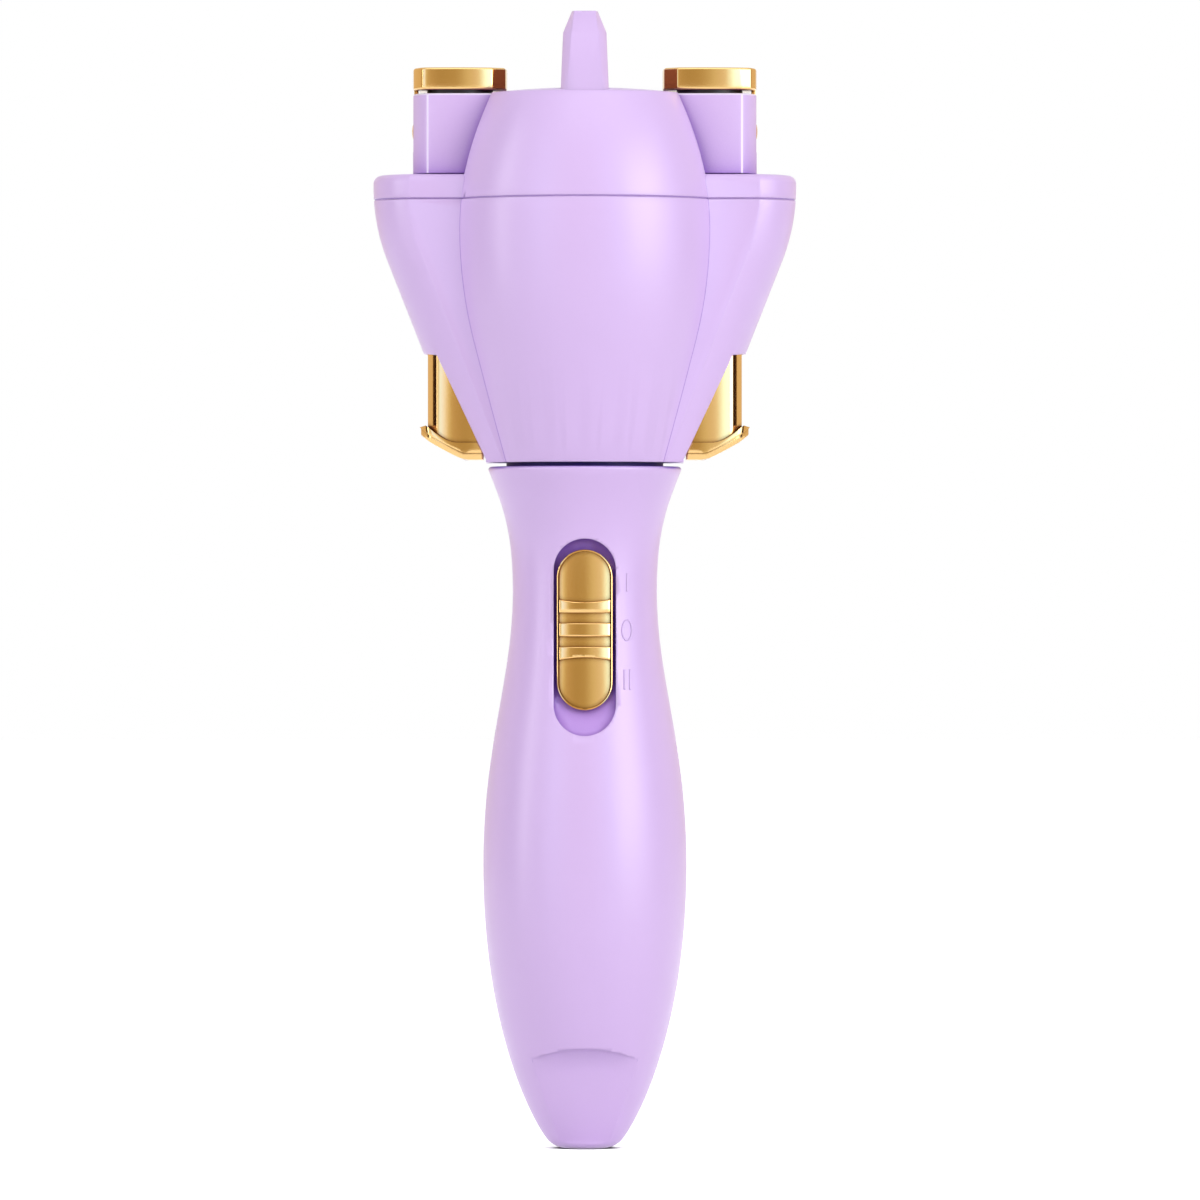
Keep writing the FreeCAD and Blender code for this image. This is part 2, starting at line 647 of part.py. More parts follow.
# ---------------------------------------------------------------- head forms
def barrel_form(inset=0.0, z0=HEAD_BOTTOM, z1=BARREL_TOP):
    """Barrel's outline moved in by the inset, between two heights."""
    def on_arc(radius, height):
        return V(BELLY_R - radius + math.sqrt((radius - inset) ** 2 - (height - BELLY_Z) ** 2), 0, height)

    angle = math.radians(CONE_ANGLE)
    reach = LOWER_ARC - inset
    start = V(BELLY_R - LOWER_ARC + reach * math.cos(angle), 0, BELLY_Z - reach * math.sin(angle))
    foot = V(start.x - (start.z - HEAD_BOTTOM) * math.tan(angle), 0, HEAD_BOTTOM)
    belly = V(BELLY_R - inset, 0, BELLY_Z)
    top = on_arc(UPPER_ARC, BARREL_TOP)
    edges = [
        line(V(0, 0, HEAD_BOTTOM), foot),
        line(foot, start),
        arc(start, on_arc(LOWER_ARC, (start.z + BELLY_Z) / 2), belly),
        arc(belly, on_arc(UPPER_ARC, (BELLY_Z + BARREL_TOP) / 2), top),
        line(top, V(0, 0, BARREL_TOP)),
        line(V(0, 0, BARREL_TOP), V(0, 0, HEAD_BOTTOM)),
    ]
    solid = revolve(face(edges))
    if z0 == HEAD_BOTTOM and z1 == BARREL_TOP:
        return solid
    reach = 2 * BELLY_R
    return solid.common(box(-reach, reach, -reach, reach, z0, z1))


def wing_form(inset=0.0, top=LID_TOP, rounding=0.0):
    """Right wing moved in by the inset: a round-ended section carried along the flank."""
    angle = math.radians(WING_ANGLE)
    outer = WING_HALF_WIDTH - inset
    bend = V(outer - WING_ARC * (1 - math.cos(angle)), 0, WING_ARC_Z - WING_ARC * math.sin(angle))
    low = V(bend.x - (bend.z - HEAD_BOTTOM + 2) * math.tan(angle), 0, HEAD_BOTTOM - 2)
    mid_angle = angle / 2
    mid = V(outer - WING_ARC * (1 - math.cos(mid_angle)), 0, WING_ARC_Z - WING_ARC * math.sin(mid_angle))
    crest = V(outer, 0, WING_ARC_Z)
    path = Part.Wire([line(low, bend), arc(bend, mid, crest), line(crest, V(outer, 0, top))])
    half = WING_HALF_DEPTH - inset
    end_arc = half + WING_END_ARC
    sag = end_arc - math.sqrt(end_arc ** 2 - half ** 2)
    inner_x = low.x - BELLY_R
    section = Part.Wire([
        line(V(inner_x, -half, low.z), V(low.x - sag, -half, low.z)),
        arc(V(low.x - sag, -half, low.z), low, V(low.x - sag, half, low.z)),
        line(V(low.x - sag, half, low.z), V(inner_x, half, low.z)),
        line(V(inner_x, half, low.z), V(inner_x, -half, low.z)),
    ])
    sweep = Part.BRepOffsetAPI.MakePipeShell(path)
    sweep.setTrihedronMode(ORIGIN, UP)
    sweep.add(section, False, False)
    sweep.build()
    sweep.makeSolid()
    solid = sweep.shape()
    if rounding:
        rim = [edge for edge in solid.Edges
               if edge.BoundBox.ZMin > top - 0.01 and edge.BoundBox.XMax > outer - sag - 0.01]
        solid = solid.makeFillet(rounding, rim)
    return solid


def both_wings(inset=0.0, top=LID_TOP, rounding=0.0):
    """Left and right wing as one tool."""
    wing = wing_form(inset, top, rounding)
    return fuse(wing, mirror_x(wing))


def slab(z0, z1):
    """Level slice of space that takes in the whole head."""
    reach = 2 * WING_HALF_WIDTH
    return box(-reach, reach, -reach, reach, z0, z1)


def notch_tool():
    """Room for the right lever: the wing's foot cut off along a slant."""
    far = 2 * WING_HALF_WIDTH
    foot_x = TURRET_X - NOTCH_FOOT_SIDE
    corner_x = WING_HALF_WIDTH - NOTCH_INSET
    corner_z = HEAD_BOTTOM + NOTCH_RISE
    outline = polygon(side_points([
        (foot_x, HEAD_BOTTOM - FOOT_THICK),
        (foot_x, LEVER_LOW),
        (corner_x, corner_z),
        (far, corner_z + NOTCH_SLOPE * (far - corner_x)),
        (far, HEAD_BOTTOM - FOOT_THICK),
    ]))
    tool = outline.extrude(V(0, 4 * WING_HALF_DEPTH, 0))
    tool.translate(V(0, -2 * WING_HALF_DEPTH, 0))
    return tool


def fin_section(height, half, facet, depth):
    """Eight-sided level section of the fin."""
    flat = depth - FIN_CHAMFER
    quarter = [(facet, -depth), (half, -flat), (half, flat), (facet, depth)]
    points = [V(x, y, height) for x, y in quarter]
    points += [V(-x, y, height) for x, y in reversed(quarter)]
    return Part.makePolygon(points + points[:1])


def fin_form(inset=0.0, sink=0.0):
    """Fin on top of the barrel: front and rear lean together towards its crest."""
    base_z = BARREL_TOP - sink
    lean = (BARREL_TOP_R - FIN_DEPTH_TOP) / FIN_HEIGHT
    mid_depth = FIN_DEPTH_TOP + lean * FIN_BREAK
    mid_z = FIN_TOP_Z - FIN_BREAK
    half_top = FIN_HALF_TOP - inset * FIN_WALL_TOP / FIN_WALL
    sections = [
        fin_section(base_z, FIN_HALF_BASE - inset, FIN_FACET_BASE - inset, BARREL_TOP_R - inset),
        fin_section(mid_z - inset, FIN_HALF_MID - inset, FIN_FACET_MID - inset, mid_depth - inset),
        fin_section(FIN_TOP_Z - inset, half_top, FIN_FACET_TOP - inset, FIN_DEPTH_TOP - inset),
    ]
    return Part.makeLoft(sections, True, True)


# ---------------------------------------------------------------- handle pieces
def handle_casing():
    """Whole hollow handle, before it is parted into shells and door."""
    outer = handle_form()
    hollow = handle_form(WALL, HANDLE_FLOOR, HANDLE_TOP - WALL)
    reach = box(-GRIP_R, GRIP_R, -2 * GRIP_R, 0, 0, HANDLE_TOP)
    recess_back = stadium(RECESS_WIDTH + 2 * RECESS_WALL, RECESS_LOW - RECESS_WALL,
                          RECESS_HIGH + RECESS_WALL, -GRIP_R, 0).cut(recess_core(-RECESS_WALL))
    scoop_back = scoop_tool(SCOOP_WALL).common(reach)
    hollow = cut(hollow, recess_back, scoop_back)
    rib = tube(GRIP_R, CLUTCH_R, CLUTCH_LOW + SKIN_GAP, CLUTCH_HIGH - SKIN_GAP)
    hollow = hollow.cut(rib)
    casing = outer.cut(hollow)
    recess = stadium(RECESS_WIDTH, RECESS_LOW, RECESS_HIGH, -2 * GRIP_R, 0).cut(recess_core())
    slot_half = STEM_LENGTH / 2 + KNOB_TRAVEL + SKIN_GAP
    stem_half = STEM_WIDTH / 2 + SKIN_GAP
    stem_slot = box(-stem_half, stem_half, -GRIP_R, -NECK_R / 2, KNOB_Z - slot_half, KNOB_Z + slot_half)
    neck_hole = rod(BUSH_R, HANDLE_TOP - 2 * WALL, HANDLE_TOP + 1)
    return cut(casing, recess, scoop_tool(), stem_slot, neck_hole)


def screw_boss(x, z, radius):
    """Round boss through the handle for a casing screw."""
    return pin_y(radius, x, z, -GRIP_R, GRIP_R).common(handle_form(WALL / 2))


def handle_screw_places():
    """Centre and head seat of each casing screw: (x, z, seat depth, tip depth)."""
    neck_z = (CLUTCH_LOW + CLUTCH_HIGH) / 2
    places = []
    for _, sign in SIDES:
        places.append((sign * GRIP_SCREW_X, GRIP_SCREW_Z, GRIP_SCREW_SEAT, GRIP_SCREW_TIP))
        places.append((sign * (CLUTCH_R + NECK_SCREW_SIDE), neck_z, NECK_SCREW_SEAT, NECK_SCREW_TIP))
    return places


def screw_along_y(x, z, seat, tip):
    """Screw whose head lies behind its seat at the rear."""
    shank = pin_y(SCREW_R, x, z, tip, seat)
    return shank.fuse(pin_y(SCREW_HEAD_R, x, z, seat, seat + SCREW_HEAD)).removeSplitter()


def handle_shells():
    """Front shell, upper rear shell and battery door."""
    casing = handle_casing()
    bosses = [screw_boss(sign * GRIP_SCREW_X, GRIP_SCREW_Z, BOSS_OUTER) for _, sign in SIDES]
    casing = fuse(casing, *bosses, *motor_cradle())
    holes = []
    for x, z, seat, tip in handle_screw_places():
        holes.append(pin_y(SCREW_R, x, z, tip, seat))
        holes.append(pin_y(SCREW_HEAD_R, x, z, seat, 2 * GRIP_R))
    casing = cut(casing, *holes)
    reach = 2 * GRIP_R
    front_room = box(-reach, reach, -reach, 0, 0, HANDLE_TOP)
    rear_room = box(-reach, reach, 0, reach, DOOR_TOP, HANDLE_TOP)
    door_room = box(-reach, reach, DOOR_GAP, reach, 0, DOOR_TOP - DOOR_GAP)
    front = fuse(casing.common(front_room), *tray_rails())
    return front, casing.common(rear_room), battery_door(casing.common(door_room))


def tray_rails():
    """Two ribs of the front shell that carry the battery tray."""
    rails = []
    for _, sign in SIDES:
        x = sign * (TRAY_HALF - RAIL_INSET)
        half = RAIL_THICK / 2
        rail = box(x - half, x + half, -GRIP_R, TRAY_FRONT,
                   CELL_LOW + RAIL_SHORT_LOW, CELL_HIGH - RAIL_SHORT_HIGH)
        rails.append(rail.common(handle_form(WALL / 2)))
    return rails


def battery_door(skin):
    """Door skin with its tongue under the rear shell and its guide tabs."""
    half = TONGUE_WIDTH / 2
    root = DOOR_TOP - DOOR_GAP
    tongue = handle_form(WALL + DOOR_GAP, root - TONGUE_ROOT, root + TONGUE_RISE)
    tongue = tongue.cut(handle_form(WALL + DOOR_GAP + TONGUE_WALL))
    foot = handle_form(WALL / 2, root - TONGUE_ROOT, root).cut(handle_form(WALL + DOOR_GAP + TONGUE_WALL))
    tongue = fuse(tongue, foot).common(box(-half, half, 0, 2 * GRIP_R, 0, HANDLE_TOP))
    tabs = []
    for _, sign in SIDES:
        edge = sign * (GRIP_R - GUIDE_INSET)
        inner = edge - sign * GUIDE_THICK / 2
        x0, x1 = sorted((inner, inner + sign * GUIDE_THICK))
        tab = box(x0, x1, -GUIDE_REACH, GUIDE_REACH, GUIDE_Z, GUIDE_Z + GUIDE_LENGTH)
        w0, w1 = sorted((inner, sign * GRIP_R))
        web = box(w0, w1, DOOR_GAP, GUIDE_REACH, GUIDE_Z, GUIDE_Z + GUIDE_LENGTH)
        tabs.append(fuse(tab, web.common(handle_form(WALL / 2))))
    return fuse(skin, tongue, *tabs)


def battery_tray():
    """Open tray: a back plate and two end walls."""
    low = TRAY_LOW - TRAY_WALL
    high = TRAY_HIGH + TRAY_WALL
    plate = box(-TRAY_HALF, TRAY_HALF, TRAY_FRONT, TRAY_FRONT + TRAY_WALL, low, high)
    floor = box(-TRAY_HALF, TRAY_HALF, TRAY_FRONT, CELL_R - TRAY_WALL, low, TRAY_LOW)
    roof = box(-TRAY_HALF, TRAY_HALF, TRAY_FRONT, CELL_R, TRAY_HIGH, high)
    return fuse(plate, floor, roof)


def battery(sign):
    """AA cell; the right one stands on its head."""
    x = sign * CELL_PITCH / 2
    if sign < 0:
        can = rod(CELL_R, CELL_LOW, CELL_HIGH - CELL_NUB, x)
        return can.fuse(rod(CELL_NUB_R, CELL_HIGH - CELL_NUB, CELL_HIGH, x)).removeSplitter()
    can = rod(CELL_R, CELL_LOW + CELL_NUB, CELL_HIGH, x)
    return can.fuse(rod(CELL_NUB_R, CELL_LOW, CELL_LOW + CELL_NUB, x)).removeSplitter()


def contact_plates():
    """Bridge at the tray's floor and two tabs at its roof, with the plus bumps."""
    x = CELL_PITCH / 2
    half = CONTACT_HALF
    edge = TRAY_HALF - TRAY_GAP
    bridge = box(-edge, edge, -half, half, TRAY_LOW, TRAY_LOW + CONTACT_THICK)
    bridge = bridge.fuse(rod(CONTACT_BUMP_R, TRAY_LOW, CELL_LOW, x)).removeSplitter()
    plus = box(-edge, half - x, -half, half, TRAY_HIGH - CONTACT_THICK, TRAY_HIGH)
    plus = plus.fuse(rod(CONTACT_BUMP_R, CELL_HIGH, TRAY_HIGH, -x)).removeSplitter()
    minus = box(x - half, edge, -half, half, TRAY_HIGH - CONTACT_THICK, TRAY_HIGH)
    return group([bridge, plus, minus])


def contact_springs():
    """Minus spring at the floor of the left cell and at the roof of the right one."""
    x = CELL_PITCH / 2
    return group([
        coil_spring(CONTACT_SPRING_R, CONTACT_WIRE, TRAY_LOW + CONTACT_THICK, CELL_LOW, 2.5, -x),
        coil_spring(CONTACT_SPRING_R, CONTACT_WIRE, CELL_HIGH, TRAY_HIGH - CONTACT_THICK, 2.5, x),
    ])


def switch_body():
    """Slide switch on the board, with a slot for the knob's stem."""
    body = box(-SWITCH_WIDTH / 2, SWITCH_WIDTH / 2, SWITCH_FRONT_Y, SWITCH_BACK_Y,
               KNOB_Z - SWITCH_LENGTH / 2, KNOB_Z + SWITCH_LENGTH / 2)
    half_x = STEM_WIDTH / 2 + SKIN_GAP
    half_z = STEM_LENGTH / 2 + KNOB_TRAVEL + SKIN_GAP
    return body.cut(box(-half_x, half_x, SWITCH_FRONT_Y - 1, SWITCH_FRONT_Y + SWITCH_SLOT,
                        KNOB_Z - half_z, KNOB_Z + half_z))


def circuit_board():
    """Board between the switch and the motor."""
    high = STAGE_LOW - SKIN_GAP
    return box(-BOARD_WIDTH / 2, BOARD_WIDTH / 2, SWITCH_BACK_Y, BOARD_BACK_Y, high - BOARD_LENGTH, high)


def knob_rib(step):
    """Room of one rib across the knob: 0 is the middle one, 1 and -1 have a hollowed far side."""
    half = KNOB_WIDTH
    near = KNOB_Z + step * RIB_PITCH - RIB_HEIGHT / 2
    far = near + RIB_HEIGHT
    if step == 0:
        return box(-half, half, -2 * GRIP_R, 0, near, far)
    if step < 0:
        near, far = far, near
    middle = V(0, 0, far - step * RIB_HOLLOW * 4)
    outline = face([
        line(V(-half, 0, near), V(-half, 0, far)),
        arc(V(-half, 0, far), middle, V(half, 0, far)),
        line(V(half, 0, far), V(half, 0, near)),
        line(V(half, 0, near), V(-half, 0, near)),
    ])
    return outline.extrude(V(0, -2 * GRIP_R, 0))


def switch_knob():
    """Slide knob: a sunk thumb face inside a thin rim, three ribs across it, and its stem."""
    low = KNOB_Z - KNOB_LENGTH / 2
    high = KNOB_Z + KNOB_LENGTH / 2
    body = stadium(KNOB_WIDTH, low, high, -2 * GRIP_R, 0).common(handle_form(-KNOB_PROUD))
    cores = [recess_core(KNOB_FLOOR_GAP, shift) for shift in (-KNOB_TRAVEL, 0, KNOB_TRAVEL)]
    body = cut(body, *cores)
    floor_y = PAD_DEPTH - NECK_R
    floor = [V(0, floor_y - FACE_LOW, low), V(0, floor_y - FACE_MID, KNOB_Z), V(0, floor_y - FACE_HIGH, high)]
    front = [V(0, -2 * GRIP_R, high), V(0, -2 * GRIP_R, low)]
    before = face([arc(*floor), line(floor[2], front[0]), line(*front), line(front[1], floor[0])])
    before = before.extrude(V(KNOB_WIDTH, 0, 0))
    before.translate(V(-KNOB_WIDTH / 2, 0, 0))
    inside = stadium(KNOB_WIDTH - 2 * PAD_RIM, low + PAD_RIM, high - PAD_RIM, -2 * GRIP_R, 0)
    trough = inside.common(before).cut([knob_rib(step) for step in (-1, 0, 1)])
    body = body.cut(trough)
    stem = box(-STEM_WIDTH / 2, STEM_WIDTH / 2,
               RECESS_FLOOR_Y - RIB_HOLLOW - PAD_DEPTH, SWITCH_FRONT_Y + STEM_BITE,
               KNOB_Z - STEM_LENGTH / 2, KNOB_Z + STEM_LENGTH / 2)
    return fuse(body, stem)


def motor_can():
    """Body of the motor: a cylinder with two flats."""
    half_x = MOTOR_WIDTH / 2
    half_y = MOTOR_DEPTH / 2
    flats = box(-half_x, half_x, -half_y, half_y, MOTOR_LOW, MOTOR_HIGH)
    return rod(half_x, MOTOR_LOW, MOTOR_HIGH).common(flats)


def motor_cradle():
    """Ribs of the casing that hold the motor, and the board in front of it."""
    half = BOARD_WIDTH / 2 + SKIN_GAP
    board_room = box(-half, half, -GRIP_R, BOARD_BACK_Y, MOTOR_LOW, MOTOR_HIGH)
    ribs = []
    for low in (MOTOR_LOW + CRADLE_INSET, MOTOR_HIGH - CRADLE_INSET - CRADLE_THICK):
        ring = handle_form(WALL / 2, low, low + CRADLE_THICK)
        ribs.append(cut(ring, motor_can(), board_room))
    return ribs


def drive_motor():
    """Flat-sided direct-current motor with its front boss and tail bearing."""
    can = motor_can()
    boss = rod(MOTOR_BOSS_R, MOTOR_HIGH, MOTOR_HIGH + MOTOR_BOSS)
    tail = rod(MOTOR_BOSS_R, MOTOR_LOW - MOTOR_BOSS, MOTOR_LOW)
    return fuse(can, boss, tail)


def motor_pinion():
    """Pinion with the motor's shaft, which turns inside the motor's boss."""
    pitch_teeth = gear(PINION_TEETH, STAGE_MODULE, 0.8 * STAGE_MODULE, 1.2 * STAGE_MODULE, STAGE_BACKLASH,
                       0, STAGE_GEAR_LOW, STAGE_GEAR_HIGH)
    shaft = rod(MOTOR_SHAFT_R, MOTOR_HIGH + MOTOR_BOSS + RUN_FIT, STAGE_GEAR_LOW)
    return fuse(pitch_teeth, shaft)


def ring_gear_housing():
    """Cup with the fixed ring gear's inner teeth and a smooth bore above them."""
    body = rod(STAGE_OUTER_R, STAGE_LOW, STAGE_HIGH)
    cutter = gear(RING_TEETH, STAGE_MODULE, 1.2 * STAGE_MODULE, 0.55 * STAGE_MODULE, -STAGE_BACKLASH,
                  180 / RING_TEETH, STAGE_LOW + STAGE_FLOOR, STAGE_HIGH + 1)
    bore = rod(STAGE_BORE_R, STAGE_GEAR_HIGH + SKIN_GAP, STAGE_HIGH + 1)
    motor_hole = rod(MOTOR_BOSS_R, STAGE_LOW - 1, STAGE_LOW + STAGE_FLOOR + 1)
    return cut(body, cutter, bore, motor_hole)


def planet_gear(index):
    """One of the planets on the carrier's pins."""
    angle = 360.0 * index / PLANETS
    x = PLANET_ORBIT * math.cos(math.radians(angle))
    y = PLANET_ORBIT * math.sin(math.radians(angle))
    teeth = gear(PLANET_TEETH, STAGE_MODULE, 0.8 * STAGE_MODULE, 1.2 * STAGE_MODULE, STAGE_BACKLASH,
                 angle + 180 + 180 / PLANET_TEETH, STAGE_GEAR_LOW, STAGE_GEAR_HIGH, x, y)
    return teeth.cut(rod(PLANET_PIN_R + RUN_FIT, STAGE_LOW, STAGE_HIGH, x, y))


def planet_carrier():
    """Disc with the planets' pins, fixed to the drive shaft."""
    disc = tube(STAGE_BORE_R - RING_BORE + SKIN_GAP, SHAFT_R, CARRIER_LOW, CARRIER_LOW + CARRIER_THICK)
    pins = []
    for index in range(PLANETS):
        angle = 2 * math.pi * index / PLANETS
        x = PLANET_ORBIT * math.cos(angle)
        y = PLANET_ORBIT * math.sin(angle)
        pins.append(rod(PLANET_PIN_R, STAGE_GEAR_LOW, CARRIER_LOW + CARRIER_THICK / 2, x, y))
    return fuse(disc, *pins)


def neck_bearing():
    """Flanged bush in the handle's top plate."""
    inner = SLEEVE_R + RUN_FIT
    bush = tube(BUSH_R, inner, CLUTCH_HIGH, HANDLE_TOP)
    return fuse(bush, tube(BUSH_R + BUSH_RIM, inner, CLUTCH_HIGH, HANDLE_TOP - WALL))


def neck_clutch():
    """One-way roller clutch that keeps the head from turning back."""
    return tube(CLUTCH_R, SLEEVE_R + RUN_FIT, CLUTCH_LOW, CLUTCH_HIGH)


def neck_washer():
    """Thrust washer in the gap under the head."""
    return tube(SLEEVE_R + WASHER_RIM, SLEEVE_R + 2 * RUN_FIT, HANDLE_TOP, HEAD_BOTTOM - JOINT_GAP)


# ---------------------------------------------------------------- head pieces
def neck_sleeve():
    """Tube that carries the head in the handle, with a hub for the drive shaft."""
    bore_r = SLEEVE_R - SLEEVE_WALL
    hub_r = SHAFT_CLUTCH_R + SLEEVE_WALL
    flange_low = HEAD_BOTTOM + FLOOR_THICK
    hub_low = flange_low - SLEEVE_HUB
    web_low = flange_low - SLEEVE_WALL / 2
    outline = polygon(side_points([
        (bore_r, SLEEVE_LOW), (SLEEVE_R, SLEEVE_LOW), (SLEEVE_R, flange_low),
        (SLEEVE_FLANGE_R, flange_low), (SLEEVE_FLANGE_R, FLANGE_HIGH), (SHAFT_CLUTCH_R, FLANGE_HIGH),
        (SHAFT_CLUTCH_R, hub_low), (hub_r, hub_low), (hub_r, web_low), (bore_r, web_low),
    ]))
    sleeve = revolve(outline)
    holes = [rod(SCREW_R, HEAD_BOTTOM, FLANGE_HIGH + 1, x, y) for x, y in sleeve_screw_places()]
    return cut(sleeve, snap_ring(), *holes)


def sleeve_screw_places():
    """Four screws through the sleeve's flange."""
    radius = (SLEEVE_R + SLEEVE_FLANGE_R) / 2 + 0.2
    side = radius * math.sqrt(0.5)
    return [(sx * side, sy * side) for sx in (-1, 1) for sy in (-1, 1)]


def screw_down(x, y, seat, tip):
    """Upright screw with its head on the seat."""
    shank = rod(SCREW_R, tip, seat, x, y)
    return shank.fuse(rod(SCREW_HEAD_R, seat, seat + SCREW_HEAD, x, y)).removeSplitter()


def snap_ring():
    """Ring in the sleeve's groove, under the clutch."""
    low = SLEEVE_LOW + SNAP_LOW
    return tube(SLEEVE_R + 1.1, SLEEVE_R - SNAP_GROOVE, low, low + SNAP_RING)


def shaft_clutch():
    """One-way roller clutch between the sleeve's hub and the drive shaft."""
    return tube(SHAFT_CLUTCH_R, SHAFT_R + RUN_FIT, FLANGE_HIGH - SHAFT_CLUTCH_LENGTH, FLANGE_HIGH)


def plate_boss_places():
    """Four bosses under the gear plate."""
    return [(sx * BOSS_X, sy * BOSS_Y) for sx in (-1, 1) for sy in (-1, 1)]


def boss_webs():
    """Webs that tie the gear plate's bosses to the barrel wall."""
    webs = []
    for x, y in plate_boss_places():
        web = box(math.hypot(x, y), 2 * BELLY_R, -BOSS_WEB / 2, BOSS_WEB / 2,
                  PLATE_LOW - BOSS_LENGTH, PLATE_LOW)
        web.rotate(ORIGIN, UP, math.degrees(math.atan2(y, x)))
        webs.append(web)
    return webs


def lever_room():
    """Space between the wing's walls in which the right lever runs, open below."""
    beside = box(PARTITION_X, 2 * WING_HALF_WIDTH, -WING_HALF_DEPTH, WING_HALF_DEPTH,
                 HEAD_BOTTOM - 2, PLATE_LOW)
    block = lever_plan(LEVER_GAP).extrude(V(0, 0, LEVER_TOP + CLAMP_LIFT + 1 - HEAD_BOTTOM))
    block.translate(V(0, 0, HEAD_BOTTOM))
    foot_half = FOOT_HALF + LEVER_GAP
    foot_high = FOOT_TOP + CLAMP_LIFT + LEVER_GAP
    foot = box(PARTITION_X, FOOT_TOP_X, -foot_half, foot_half, HEAD_BOTTOM - 1, foot_high)
    spring_r = LEVER_SPRING_R + LEVER_WIRE + SKIN_GAP
    spring = rod(spring_r, LEVER_TOP, PLATE_LOW, LEVER_SPRING_X, LEVER_SPRING_Y)
    return fuse(wing_form(WALL), block, foot, spring).common(beside)


def head_lower_shell():
    """Barrel and wings up to the lid's seam."""
    top = LID_SEAM - SEAM_GAP / 2
    outer = fuse(barrel_form(), both_wings()).common(slab(HEAD_BOTTOM, top))
    notch = notch_tool()
    outer = cut(outer, notch, mirror_x(notch))
    hollow = fuse(barrel_form(WALL), both_wings(WALL)).common(slab(HEAD_BOTTOM + FLOOR_THICK, top + 1))
    walls = []
    for _, sign in SIDES:
        wall = box(PARTITION_X - PARTITION_WALL, PARTITION_X, -WING_HALF_DEPTH, WING_HALF_DEPTH,
                   HEAD_BOTTOM, ROD_LOW + CLAMP_LIFT + 2)
        walls.append(sided(wall, sign))
    bosses = [rod(BOSS_R, PLATE_LOW - BOSS_LENGTH, PLATE_LOW, x, y) for x, y in plate_boss_places()]
    hollow = cut(hollow, *walls, *bosses, *boss_webs())
    room = lever_room()
    shell = cut(outer, hollow, room, mirror_x(room))
    lip_low = LID_SEAM - SEAM_GAP - LIP_ROOT
    lip_in = WALL + LIP_GAP
    lip_outer = fuse(barrel_form(lip_in), both_wings(lip_in))
    lip_inner = fuse(barrel_form(lip_in + LIP_THICK), both_wings(lip_in + LIP_THICK))
    lip = lip_outer.common(slab(lip_low, LID_SEAM + LIP_RISE))
    foot = fuse(barrel_form(WALL / 2), both_wings(WALL / 2)).common(slab(lip_low, top))
    lip = fuse(lip, foot).cut(lip_inner)
    stops = []
    for _, sign in SIDES:
        for y0 in (LEVER_HALF + SKIN_GAP, -WING_HALF_DEPTH + WALL / 2):
            y1 = y0 + (WING_HALF_DEPTH - WALL / 2) - (LEVER_HALF + SKIN_GAP)
            high = GUIDE_RIB_LOW - JOINT_GAP
            stop = box(PARTITION_X - PARTITION_WALL / 2, LEVER_INNER + GUIDE_RIB + LEVER_GAP, y0, y1,
                       high - LEVER_STOP, high)
            stops.append(sided(stop, sign))
    shell = fuse(shell, lip, *stops)
    neck_hole = rod(SLEEVE_R + 2 * RUN_FIT, HEAD_BOTTOM - 1, HEAD_BOTTOM + FLOOR_THICK + 1)
    screw_low = HEAD_BOTTOM + SCREW_FLOOR
    holes = [rod(SCREW_R, screw_low, HEAD_BOTTOM + FLOOR_THICK, x, y) for x, y in sleeve_screw_places()]
    holes += [rod(SCREW_R, PLATE_LOW - SCREW_BITE, PLATE_LOW, x, y) for x, y in plate_boss_places()]
    return cut(shell, neck_hole, *holes)


def head_top_cover():
    """Lid over the gears, domed barrel top between the turrets, and the fin."""
    low = LID_SEAM + SEAM_GAP / 2
    rim = V(BARREL_TOP_R, 0, BARREL_TOP)
    dome = revolve(face([
        line(V(0, 0, BARREL_TOP), rim),
        arc(rim, V(BARREL_TOP_R / 2, 0, BARREL_TOP + DOME * DOME_SHARE), V(0, 0, BARREL_TOP + DOME)),
        line(V(0, 0, BARREL_TOP + DOME), V(0, 0, BARREL_TOP)),
    ]))
    outer = fuse(barrel_form(), both_wings(0, LID_TOP, LID_ROUND), dome, fin_form(0, FIN_SINK))
    outer = outer.common(slab(low, FIN_TOP_Z + 1))
    outer = cut(outer, *[rod(POCKET_R, LID_TOP, FIN_TOP_Z, sign * TURRET_X) for _, sign in SIDES])
    hollow_low = fuse(barrel_form(WALL), both_wings(WALL)).common(slab(low - 1, LID_TOP - WALL))
    hollow_high = barrel_form(WALL, LID_TOP - WALL - 1, BARREL_TOP - WALL)
    pocket_walls = [rod(POCKET_R + WALL, LID_TOP - WALL, BARREL_TOP, sign * TURRET_X) for _, sign in SIDES]
    hollow_high = cut(hollow_high, *pocket_walls)
    fin_room = fin_form(FIN_WALL, WALL + 1)
    hub_holes = [rod(HUB_R + SKIN_GAP, low - 1, LID_TOP + 1, sign * TURRET_X) for _, sign in SIDES]
    return cut(outer, hollow_low, hollow_high, fin_room, *hub_holes)


def gear_plate():
    """Plate across the head that carries the shaft's and the turrets' bushes."""
    inset = WALL + PLATE_GAP
    form = fuse(barrel_form(inset), both_wings(inset)).common(slab(PLATE_LOW, PLATE_HIGH))
    holes = [rod(SHAFT_CLUTCH_R, PLATE_LOW - 1, PLATE_HIGH + 1)]
    for _, sign in SIDES:
        holes.append(rod(TURRET_BUSH_R, PLATE_LOW - 1, PLATE_HIGH + 1, sign * TURRET_X))
    holes += [rod(SCREW_R, PLATE_LOW - 1, PLATE_HIGH + 1, x, y) for x, y in plate_boss_places()]
    return cut(form, *holes)


